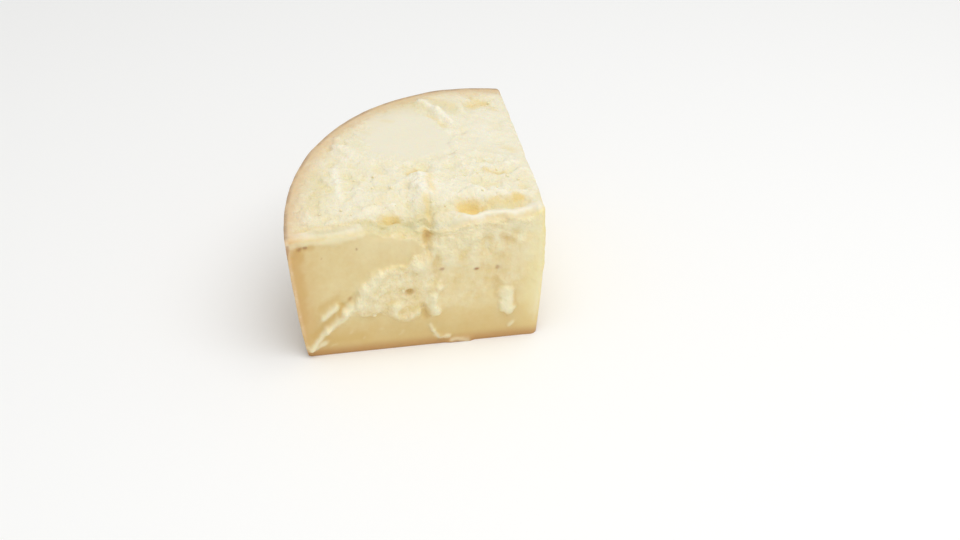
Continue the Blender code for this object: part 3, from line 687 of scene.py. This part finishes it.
def markRind(block, onHeel, onBase, inHeel):
    # the heel and the base are rind, and the heel needs fewer faces than the rest
    mesh = block.data
    corners = np.empty(len(mesh.loops), dtype=np.int32)
    mesh.loops.foreach_get("vertex_index", corners)
    isRind = (onHeel | onBase)[corners].reshape(-1, 4).all(axis=1)
    for _ in ("paste", "rind"):
        mesh.materials.append(None)
    mesh.polygons.foreach_set("material_index", isRind.astype(np.int32))
    block.vertex_groups.new(name="heel").add(np.flatnonzero(inHeel).tolist(), 1.0, "REPLACE")


def shapeWedge(block):
    # bends the unit cube into a quarter of the wheel, then tears its faces
    cube = meshPlaces(block.data)
    across, back, up = 0.5 - cube[:, 0], 0.5 + cube[:, 1], 0.5 + cube[:, 2]
    onBase = up < samePlace
    onHeel = np.maximum(across, back) > 1.0 - samePlace
    outwards, backwards = -across * np.sqrt(1.0 - back**2 / 2.0), back * np.sqrt(1.0 - across**2 / 2.0)
    out = np.stack([outwards, backwards], axis=1)
    full = out * wheel["radius"]
    top = topHeight(full)
    height = top * up
    plan = out * heelRadius(height)[:, None]
    apex = np.array(wheel["apex"])
    places = np.column_stack([apex[0] + plan[:, 0], apex[1] + plan[:, 1], height])

    waves = enumerate(wheel["heelWaves"], start=1)
    wave = sum(softNoise(places, size, seed) * depth for seed, (size, depth) in waves)
    plan *= np.where(onHeel, 1.0 + wave / wheel["radius"], 1.0)[:, None]
    toSide, toFront, toTop = -plan[:, 0], plan[:, 1], top - height
    fromSide, fromFront, fromTop = roundCorner(toSide, toFront, toTop)
    shaped = np.column_stack([apex[0] - fromSide, apex[1] + fromFront, top - fromTop])
    shaped[:, 0] += sideLean(height) * (1.0 - smoothStep(toSide / wheel["leanReach"]))
    shaped[onBase, 2] = 0.0

    toRim = wheel["radius"] - np.linalg.norm(full, axis=1)
    marks = {
        "front": nearFace(frontRelief, toFront, places),
        "side": nearFace(sideRelief, toSide, places),
        "top": nearFace(topRelief, toTop, places, toRim),
    }
    shaped[:, 0] += marks["side"][0]
    shaped[:, 1] -= marks["front"][0]
    shaped[:, 2] += marks["top"][0] * smoothStep(height / wheel["reliefReach"])
    shaped[:, :2] -= wheel["centre"]
    shaped = np.clip(shaped, np.array(wedgeLow) + wheel["inset"], np.array(wedgeHigh) - wheel["inset"])
    shaped[onBase, 2] = 0.0
    block.data.vertices.foreach_set("co", shaped.ravel())

    # each face's marks fade into the next face's at their shared edge
    topShare = smoothStep(wheel["topBlend"] + (np.minimum(toSide, toFront) - toTop) / wheel["edgeBlend"])
    frontShare = (1.0 - topShare) * smoothStep(0.5 + (toSide - toFront) / wheel["edgeBlend"])
    shares = {"front": frontShare, "side": 1.0 - topShare - frontShare, "top": topShare}
    keepMask(block.data, "topFace", topShare)
    keepMarks(block.data, places, marks, shares)
    toApex = np.linalg.norm(plan, axis=1)
    keepMask(block.data, "toHeel", np.clip(heelRadius(height) - toApex, 0.0, None) / mm)
    keepMask(block.data, "toApex", toApex / mm)
    keepMask(block.data, "toBase", height / mm)
    inHeel = onHeel & (np.minimum(across, back) > samePlace) & ~onBase & (up < 1.0 - samePlace)
    markRind(block, onHeel, onBase, inHeel)


print("wedge: block")
wedge = addBlock()
print("wedge: shape", len(wedge.data.vertices))
shapeWedge(wedge)


def dissolveBase(piece):
    # the base is flat, so it needs one face
    mesh = piece.data
    editOnly(piece)
    bpy.ops.mesh.select_mode(type="FACE")
    bpy.ops.mesh.select_all(action="DESELECT")
    bpy.ops.object.mode_set(mode="OBJECT")
    centres = np.empty(len(mesh.polygons) * 3)
    mesh.polygons.foreach_get("center", centres)
    mesh.polygons.foreach_set("select", centres.reshape(-1, 3)[:, 2] < onFloor)
    bpy.ops.object.mode_set(mode="EDIT")
    bpy.ops.mesh.dissolve_faces()
    bpy.ops.object.mode_set(mode="OBJECT")


dissolveBase(wedge)
applyModifier(wedge, "TRIANGULATE")
print("wedge: thin", len(wedge.data.polygons))
thinning = min(1.0, grid["triangles"] / len(wedge.data.polygons))
applyModifier(wedge, "DECIMATE", ratio=thinning, vertex_group="heel")
wedge.vertex_groups.clear()
wedge.data.shade_smooth()
print("wedge:", len(wedge.data.polygons), "triangles")


# Colours are linear
paste = {
    "top": (0.805, 0.757, 0.592, 1),
    # the cuts are yellower than the top: partly the paste's own tone, partly painted warm bounce light
    "cut": (0.83, 0.70, 0.38, 1),
    "cutWarm": (0.78, 0.61, 0.29, 1),
    "torn": (0.92, 0.815, 0.50, 1),
    "tornTop": (0.845, 0.763, 0.505, 1),
    "tornYellow": (0.79, 0.62, 0.25, 1),
    "tornPink": (0.90, 0.76, 0.52, 1),
    "sunkTop": (0.78, 0.70, 0.41, 1),
    # crest and crestTop: paler crumbs, also used as painted highlight on crests and edges
    "crest": (0.91, 0.84, 0.57, 1),
    "crestTop": (0.91, 0.87, 0.72, 1),
    "olive": (0.645, 0.585, 0.315, 1),
    # golden and goldenTop: painted warm shade in grooves, hollows and low down; also the colour of the
    # stains
    "golden": (0.68, 0.46, 0.15, 1),
    "goldenTop": (0.78, 0.59, 0.22, 1),
    "brown": (0.40, 0.17, 0.06, 1),
    "underRind": (0.69, 0.415, 0.15, 1),
    "underRindTop": (0.67, 0.46, 0.23, 1),
    # on the cuts a lighter line along the rind, a painted edge highlight; on the top the rind's darker edge
    "rindLine": (0.84, 0.62, 0.38, 1),
    "rindLineTop": (0.47, 0.33, 0.20, 1),
    # painted highlight along the cuts' shared upright edge
    "apex": (0.925, 0.795, 0.395, 1),
    # the rind's brown edge at the base, with painted contact shadow
    "baseRindAndShadow": (0.56, 0.31, 0.11, 1),
}


# Where each colour comes in: an attribute, its value where the colour starts and where it is at its
# fullest, and how full that is. Two of those are for the cuts and for the top. Lengths are in
# millimetres.
pasteBands = {
    "torn": ("torn", 0.05, 0.8, 1.0),
    # paler crests: partly paler crumbs, partly painted highlight
    "raised": ("crest", 0.2, 2.6, 0.8),
    # painted shade: low places in the torn paste turn yellower
    "sunk": ("crest", 0.2, -1.3, (0.9, 0.6)),
    # painted shade in grooves and hollows
    "deep": ("hollow", 0.5, 4.5, 0.6),
    # stains, and painted shade in grooves and beside ridges
    "stainedAndShaded": ("stain", 0.0, 1.1, 0.85),
    # painted highlight along the cuts' shared upright edge
    "apex": ("toApex", 16.0, 1.0, (0.8, 0.0)),
    "warmed": ("toHeel", 22.0, 3.0, 0.16),
    "heelLow": ("toBase", 36.0, 4.0, (0.1, 0.0)),
    # on the cuts a painted edge highlight at the rind; on the top the rind's darker edge
    "rindLine": ("toHeel", 2.4, 0.6, 1.0),
    # painted shade and warm bounce light towards the base
    "paintedLowShade": ("toBase", 25.0, 6.0, 0.54),
    # the rind's brown edge at the base, with painted contact shadow
    "baseRindAndShadow": ("toBase", 7.0, 0.0, 1.0),
    # paler paste on flakes and ridges, and painted highlight
    "paledAndHighlit": ("pale", 0.0, 1.0, 0.9),
    "spotted": ("spot", 0.0, 1.0, 1.0),
}

pasteFinish = {
    "glow": 0.2,
    "glowColour": (1.0, 0.62, 0.3),  # how far red, green and blue light goes, of the depth
    "glowDepth": 2.0 * mm,
    "roughness": (0.42, 0.72),  # where it is cut, and where it is torn
    "bump": 0.8 * mm,
    "bumpShares": (0.1, 0.7),
    "topBump": 0.9,
    "grains": ((1.3, 8.0), (2.6, 3.6), (1.4, 4.0)),  # sizes of grain and mottle: mottle, fleck, speck
    "speckStretch": (1.0, 1.0, 0.6),
    "speckShift": (0.3, 0.0, 0.1),
    "heelWander": 3.0,  # millimetres, as the reach
    "heelReach": (10.5, 1.0),
    "heelShares": (0.55, 0.75),  # of the colour under the rind, on the cuts and on the top
    "lineGaps": (0.2, 0.7, 0.4, 1.0),  # from and to, in the mottle, and the line's strength there
}

# How the torn paste is mottled: a noise, its values from none to full, how full, and the colour
cutMottle = (
    ("mottle", 0.0, 1.0, 0.8, "tornYellow"),
    ("fleck", 0.0, 1.0, 0.6, "tornPink"),
    ("speck", 0.5, 0.95, 0.55, "tornYellow"),
    ("speck", 0.5, 0.05, 0.9, "crest"),
)
topMottle = (
    ("mottle", 0.0, 1.0, 0.5, "tornTop"),
    ("fleck", 0.55, 1.0, 0.4, "sunkTop"),
    ("speck", 0.45, 0.05, 0.5, "crestTop"),
)


def nodeTools(tree):
    # short ways to add the nodes that every material and group here uses
    nodes, links = tree.nodes, tree.links

    def feed(value, socket):
        if isinstance(value, (int, float, tuple)):
            socket.default_value = value
        else:
            links.new(value, socket)

    def attribute(name):
        node = nodes.new("ShaderNodeAttribute")
        node.attribute_name = name
        return node.outputs["Fac"]

    def remap(value, low, high, start=0.0, end=1.0, blend="SMOOTHSTEP"):
        ramp = nodes.new("ShaderNodeMapRange")
        ramp.interpolation_type = blend
        bounds = {"From Min": low, "From Max": high, "To Min": start, "To Max": end}
        for name, bound in bounds.items():
            ramp.inputs[name].default_value = bound
        links.new(value, ramp.inputs["Value"])
        return ramp.outputs["Result"]

    def calculate(operation, first, second):
        node = nodes.new("ShaderNodeMath")
        node.operation = operation
        feed(first, node.inputs[0])
        feed(second, node.inputs[1])
        return node.outputs[0]

    def mix(factor, first, second):
        node = nodes.new("ShaderNodeMix")
        node.data_type = "RGBA"
        links.new(factor, node.inputs[0])
        feed(first, node.inputs[6])
        feed(second, node.inputs[7])
        return node.outputs[2]

    return attribute, remap, calculate, mix


# The grain that paste and rind share. Sizes are in millimetres.
graining = {
    "sizes": (("Grain Size", 1.4), ("Mottle Size", 9.0)),
    "mottle": {"Detail": 5.0, "Roughness": 0.62},
    "mottleLevels": (0.32, 0.68),  # of its noise, where the mottle is 0 and 1
    "chipSmoothness": 0.35,
    "chipHeight": -0.5,  # a chip falls away from its middle
    "rough": {"Detail": 4.0, "Roughness": 0.6},
    "roughScale": 0.7,  # of the chips' own scale
}


def grainGroup():
    # crumbly grain: a colour mottle from 0 to 1, and a height
    group = bpy.data.node_groups.new("crumbly grain", "ShaderNodeTree")
    group.interface.new_socket("Places", in_out="INPUT", socket_type="NodeSocketVector")
    for name, value in graining["sizes"]:
        group.interface.new_socket(name, in_out="INPUT", socket_type="NodeSocketFloat").default_value = value
    for name in ("Mottle", "Height"):
        group.interface.new_socket(name, in_out="OUTPUT", socket_type="NodeSocketFloat")
    nodes, links = group.nodes, group.links
    given, made = nodes.new("NodeGroupInput"), nodes.new("NodeGroupOutput")
    _, remap, calculate, _ = nodeTools(group)

    def noise(kind, scale, settings):
        node = nodes.new(kind)
        for name, value in settings.items():
            node.inputs[name].default_value = value
        links.new(given.outputs["Places"], node.inputs["Vector"])
        links.new(scale, node.inputs["Scale"])
        return node

    mottleScale = calculate("DIVIDE", 1 / mm, given.outputs["Mottle Size"])
    mottle = noise("ShaderNodeTexNoise", mottleScale, graining["mottle"])
    low, high = graining["mottleLevels"]
    links.new(remap(mottle.outputs["Fac"], low, high, blend="LINEAR"), made.inputs["Mottle"])

    grainScale = calculate("DIVIDE", 1 / mm, given.outputs["Grain Size"])
    chips = noise("ShaderNodeTexVoronoi", grainScale, {})
    chips.feature = "SMOOTH_F1"
    chips.inputs["Smoothness"].default_value = graining["chipSmoothness"]
    roughScale = calculate("MULTIPLY", grainScale, graining["roughScale"])
    rough = noise("ShaderNodeTexNoise", roughScale, graining["rough"])
    fall = calculate("MULTIPLY", chips.outputs["Distance"], graining["chipHeight"])
    links.new(calculate("ADD", fall, rough.outputs["Fac"]), made.inputs["Height"])
    return group


grain = grainGroup()


def addGrain(material, places, sizes):
    node = material.node_tree.nodes.new("ShaderNodeGroup")
    node.node_tree = grain
    node.inputs["Grain Size"].default_value, node.inputs["Mottle Size"].default_value = sizes
    material.node_tree.links.new(places, node.inputs["Places"])
    return node.outputs["Mottle"], node.outputs["Height"]


def addMaterial(name):
    material = bpy.data.materials.new(name)
    material.use_nodes = True
    return material, material.node_tree.nodes["Principled BSDF"]


def addBump(material, shader, height, distance):
    bump = material.node_tree.nodes.new("ShaderNodeBump")
    bump.inputs["Distance"].default_value = distance
    bump.inputs["Strength"].default_value = 1.0
    material.node_tree.links.new(height, bump.inputs["Height"])
    material.node_tree.links.new(bump.outputs["Normal"], shader.inputs["Normal"])


def addGlow(shader, depth):
    shader.inputs["Subsurface Weight"].default_value = pasteFinish["glow"]
    shader.inputs["Subsurface Radius"].default_value = pasteFinish["glowColour"]
    shader.inputs["Subsurface Scale"].default_value = depth


def pasteMaterial():
    material, shader = addMaterial("paste")
    addGlow(shader, pasteFinish["glowDepth"])
    nodes, links = material.node_tree.nodes, material.node_tree.links
    attribute, remap, calculate, mix = nodeTools(material.node_tree)

    places = nodes.new("ShaderNodeTexCoord").outputs["Object"]
    stretched = nodes.new("ShaderNodeMapping")
    stretched.inputs["Scale"].default_value = pasteFinish["speckStretch"]
    stretched.inputs["Location"].default_value = pasteFinish["speckShift"]
    links.new(places, stretched.inputs["Vector"])
    mottleSizes, fleckSizes, speckSizes = pasteFinish["grains"]
    mottle, height = addGrain(material, places, mottleSizes)
    fleck, _ = addGrain(material, places, fleckSizes)
    speck, _ = addGrain(material, stretched.outputs["Vector"], speckSizes)
    noises = {"mottle": mottle, "fleck": fleck, "speck": speck}
    onTop = remap(attribute("topFace"), 0, 1)

    def band(name):
        source, low, high, most = pasteBands[name]
        if isinstance(most, tuple):
            return calculate("MULTIPLY", remap(attribute(source), low, high), remap(onTop, 0, 1, *most))
        return remap(attribute(source), low, high, 0.0, most)

    def mottled(colour, layers):
        for name, low, high, most, tint in layers:
            blend = "LINEAR" if (low, high) == (0.0, 1.0) else "SMOOTHSTEP"
            colour = mix(remap(noises[name], low, high, 0.0, most, blend), colour, paste[tint])
        return colour

    def onFaces(cut, top):
        return mix(onTop, paste[cut], paste[top])

    # the cuts' colours carry painted warm bounce light as well as their own tone
    cut = mix(mottle, paste["cut"], paste["cutWarm"])
    tornCut, tornTop = mottled(paste["torn"], cutMottle), mottled(paste["top"], topMottle)
    torn = band("torn")
    colour = mix(torn, mix(onTop, cut, paste["top"]), mix(onTop, tornCut, tornTop))
    crest, golden = onFaces("crest", "crestTop"), onFaces("golden", "goldenTop")
    underRind = onFaces("underRind", "underRindTop")
    # paler crests: partly paler crumbs, partly painted highlight
    colour = mix(band("raised"), colour, crest)
    # painted shade: low places in the torn paste turn yellower
    colour = mix(band("sunk"), colour, onFaces("tornYellow", "sunkTop"))
    # painted shade in grooves and hollows
    colour = mix(band("deep"), colour, golden)
    colour = mix(remap(attribute("shade"), 0, 1, blend="LINEAR"), colour, paste["olive"])
    # stains, and painted shade in grooves and beside ridges
    colour = mix(band("stainedAndShaded"), colour, golden)
    # painted highlight along the cuts' shared upright edge
    colour = mix(band("apex"), colour, paste["apex"])
    colour = mix(band("warmed"), colour, underRind)

    # the paste darkens towards the rind, along a wandering line
    wander = calculate("MULTIPLY", calculate("ADD", mottle, speck), pasteFinish["heelWander"])
    wander = calculate("SUBTRACT", wander, pasteFinish["heelWander"])
    toHeel = calculate("ADD", attribute("toHeel"), wander)
    heelShare = calculate("ADD", band("heelLow"), remap(onTop, 0, 1, *pasteFinish["heelShares"]))
    nearHeel = calculate("MULTIPLY", remap(toHeel, *pasteFinish["heelReach"]), heelShare)
    colour = mix(nearHeel, colour, underRind)
    # on the cuts a painted edge highlight at the rind; on the top the rind's darker edge
    onLine = calculate("MULTIPLY", band("rindLine"), remap(mottle, *pasteFinish["lineGaps"]))
    colour = mix(onLine, colour, onFaces("rindLine", "rindLineTop"))

    # painted shade and warm bounce light towards the base
    colour = mix(band("paintedLowShade"), colour, paste["golden"])
    # the rind's brown edge at the base, with painted contact shadow
    colour = mix(band("baseRindAndShadow"), colour, paste["baseRindAndShadow"])
    # paler paste on flakes and ridges, and painted highlight
    colour = mix(band("paledAndHighlit"), colour, crest)
    colour = mix(band("spotted"), colour, paste["brown"])
    links.new(colour, shader.inputs["Base Color"])

    links.new(remap(torn, 0, 1, *pasteFinish["roughness"]), shader.inputs["Roughness"])
    relief = remap(torn, 0, 1, *pasteFinish["bumpShares"])
    relief = calculate("MULTIPLY", relief, remap(onTop, 0, 1, 1.0, pasteFinish["topBump"]))
    addBump(material, shader, calculate("MULTIPLY", height, relief), pasteFinish["bump"])
    return material


# Rind colours are linear
rind = {
    "tan": (0.66, 0.47, 0.26, 1),
    "dark": (0.44, 0.28, 0.13, 1),
    "bloom": (0.76, 0.63, 0.42, 1),
    "bloomShare": 0.55,
    "broad": (0.9, 14.0),  # sizes of grain and mottle
    "fine": (3.2, 3.0),
    "roughness": (0.5, 0.68),
    "bump": 0.5 * mm,
}


def rindMaterial():
    material, shader = addMaterial("rind")
    nodes, links = material.node_tree.nodes, material.node_tree.links
    _, remap, calculate, mix = nodeTools(material.node_tree)
    places = nodes.new("ShaderNodeTexCoord").outputs["Object"]
    broad, broadHeight = addGrain(material, places, rind["broad"])
    fine, fineHeight = addGrain(material, places, rind["fine"])
    blotched = mix(broad, rind["tan"], rind["dark"])
    bloomed = mix(calculate("MULTIPLY", fine, rind["bloomShare"]), blotched, rind["bloom"])
    links.new(bloomed, shader.inputs["Base Color"])
    links.new(remap(broad, 0, 1, *rind["roughness"]), shader.inputs["Roughness"])
    addBump(material, shader, calculate("ADD", broadHeight, fineHeight), rind["bump"])
    return material


print("wedge: paste and rind")
wedge.data.materials[0] = pasteMaterial()
wedge.data.materials[1] = rindMaterial()
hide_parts("pecorino_wedge")
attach(wedge, "root")

# Crumbs that cling to the torn paste. Areas are face, lower corner and upper corner in millimetres,
# then how many.
crumbs = {
    "areas": [
        ("top", (-46, -54), (16, -24), 16),
        ("top", (18, -46), (56, -20), 10),
        ("top", (38, 34), (56, 54), 5),
        ("front", (-24, 22), (8, 46), 6),
    ],
    "sizes": (1.0, 2.2),
    "sizePower": 1.5,  # most are small
    "sizeDivisor": 1.38,
    "flatness": (1.0, 0.85, 0.7),
    "lumps": (0.45, 5),  # size and seed of the noise on a crumb that is 1 across
    "lumpHeight": 0.3,
    "lumpShift": 7.0,
    "turn": 6.28,  # radians
    "searchFrom": 0.2,  # how far out the search for a resting place starts
    "glowDepth": 1.5 * mm,
    "roughness": 0.75,
    "seed": 8,
}


def addCrumb():
    deselectAll()
    bpy.ops.mesh.primitive_ico_sphere_add(subdivisions=2, radius=0.5, location=(0, 0, 0))
    crumb = bpy.context.object
    crumb.name = "crumb"
    places = meshPlaces(crumb.data)
    lumps = softNoise(places + crumbs["lumpShift"], *crumbs["lumps"])
    places *= (1.0 + crumbs["lumpHeight"] * lumps)[:, None]
    crumb.data.vertices.foreach_set("co", places.ravel())
    return crumb


def crumbRests():
    # where the crumbs lie on the wedge, how large they are and how they are turned
    rests = []
    chance = np.random.default_rng(crumbs["seed"])
    shift = np.array([*wheel["centre"], 0.0])
    for face, low, high, count in crumbs["areas"]:
        for _ in range(count):
            across, along = (chance.uniform(low[k], high[k]) * mm for k in (0, 1))
            if face == "top":
                start, towards = np.array([across, along, crumbs["searchFrom"]]), (0.0, 0.0, -1.0)
            else:
                start, towards = np.array([across, -crumbs["searchFrom"], along]), (0.0, 1.0, 0.0)
            found, place, _, _ = wedge.ray_cast(tuple(start - shift), towards)
            size = chance.uniform(*crumbs["sizes"]) ** crumbs["sizePower"] / crumbs["sizeDivisor"] * mm
            turns = chance.uniform(0.0, crumbs["turn"], 3)
            if found:
                rests.append((place, size, turns))
    return rests


def addCrumbs():
    pieces = []
    first = addCrumb()
    for place, size, turns in crumbRests():
        crumb = first.copy()
        crumb.data = first.data.copy()
        bpy.context.scene.collection.objects.link(crumb)
        crumb.scale = tuple(size * share for share in crumbs["flatness"])
        crumb.rotation_euler = tuple(turns)
        crumb.location = place
        pieces.append(crumb)
    bpy.data.objects.remove(first)
    deselectAll()
    for piece in pieces:
        piece.select_set(True)
    bpy.context.view_layer.objects.active = pieces[0]
    bpy.ops.object.transform_apply(location=True, rotation=True, scale=True)
    bpy.ops.object.join()
    joined = bpy.context.object
    joined.name = "crumbs"
    joined.data.name = "crumbs"
    joined.data.shade_smooth()
    return joined


def crumbMaterial():
    material, shader = addMaterial("crumbs")
    shader.inputs["Base Color"].default_value = paste["tornTop"]
    shader.inputs["Roughness"].default_value = crumbs["roughness"]
    addGlow(shader, crumbs["glowDepth"])
    return material


print("crumbs")
loose = addCrumbs()
loose.data.materials.clear()
loose.data.materials.append(crumbMaterial())
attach(loose, "root")

# The studio
studio = {
    "floorSize": 6.0,
    "floorColour": (0.92, 0.92, 0.91, 1),
    "floorRoughness": 0.9,
    "skyColour": (1.0, 1.0, 1.0, 1),
    "skyStrength": 0.59,
    "lampPlace": (0.25, -0.35, 1.25),
    "lampSize": 1.2,
    "lampPower": 10.7,
    "lens": 61.875,
    "sensorWidth": 36.0,
    "cameraPlace": (-84.61 * mm, -714.95 * mm, 495.0 * mm),
    "cameraTilt": 55.7,  # degrees up from straight down
    "cameraTurn": -9.9,
}


def addFloor():
    deselectAll()
    bpy.ops.mesh.primitive_plane_add(size=studio["floorSize"], location=(0, 0, 0))
    floor = bpy.context.object
    floor.name = "floor"
    material, shader = addMaterial("floor")
    shader.inputs["Base Color"].default_value = studio["floorColour"]
    shader.inputs["Roughness"].default_value = studio["floorRoughness"]
    floor.data.materials.append(material)


def addLights():
    world = bpy.data.worlds.new("studio")
    bpy.context.scene.world = world
    world.use_nodes = True
    sky = world.node_tree.nodes["Background"]
    sky.inputs["Color"].default_value = studio["skyColour"]
    sky.inputs["Strength"].default_value = studio["skyStrength"]
    lamp = bpy.data.lights.new("softbox", "AREA")
    lamp.shape = "SQUARE"
    lamp.size = studio["lampSize"]
    lamp.energy = studio["lampPower"]
    lampObject = bpy.data.objects.new("softbox", lamp)
    bpy.context.scene.collection.objects.link(lampObject)
    lampObject.location = studio["lampPlace"]
    sideways, forwards, up = studio["lampPlace"]
    tilt, turn = math.atan2(math.hypot(sideways, forwards), up), math.atan2(sideways, -forwards)
    lampObject.rotation_euler = (tilt, 0.0, turn)


def addCamera():
    camera = bpy.data.cameras.new("camera")
    camera.lens = studio["lens"]
    camera.sensor_width = studio["sensorWidth"]
    camera.sensor_fit = "HORIZONTAL"
    cameraObject = bpy.data.objects.new("camera", camera)
    bpy.context.scene.collection.objects.link(cameraObject)
    cameraObject.location = studio["cameraPlace"]
    tilt, turn = math.radians(studio["cameraTilt"]), math.radians(studio["cameraTurn"])
    cameraObject.rotation_euler = (tilt, 0.0, turn)
    bpy.context.scene.camera = cameraObject


print("studio")
addFloor()
addLights()
addCamera()
bpy.context.scene.view_settings.view_transform = "Standard"
bpy.context.view_layer.update()
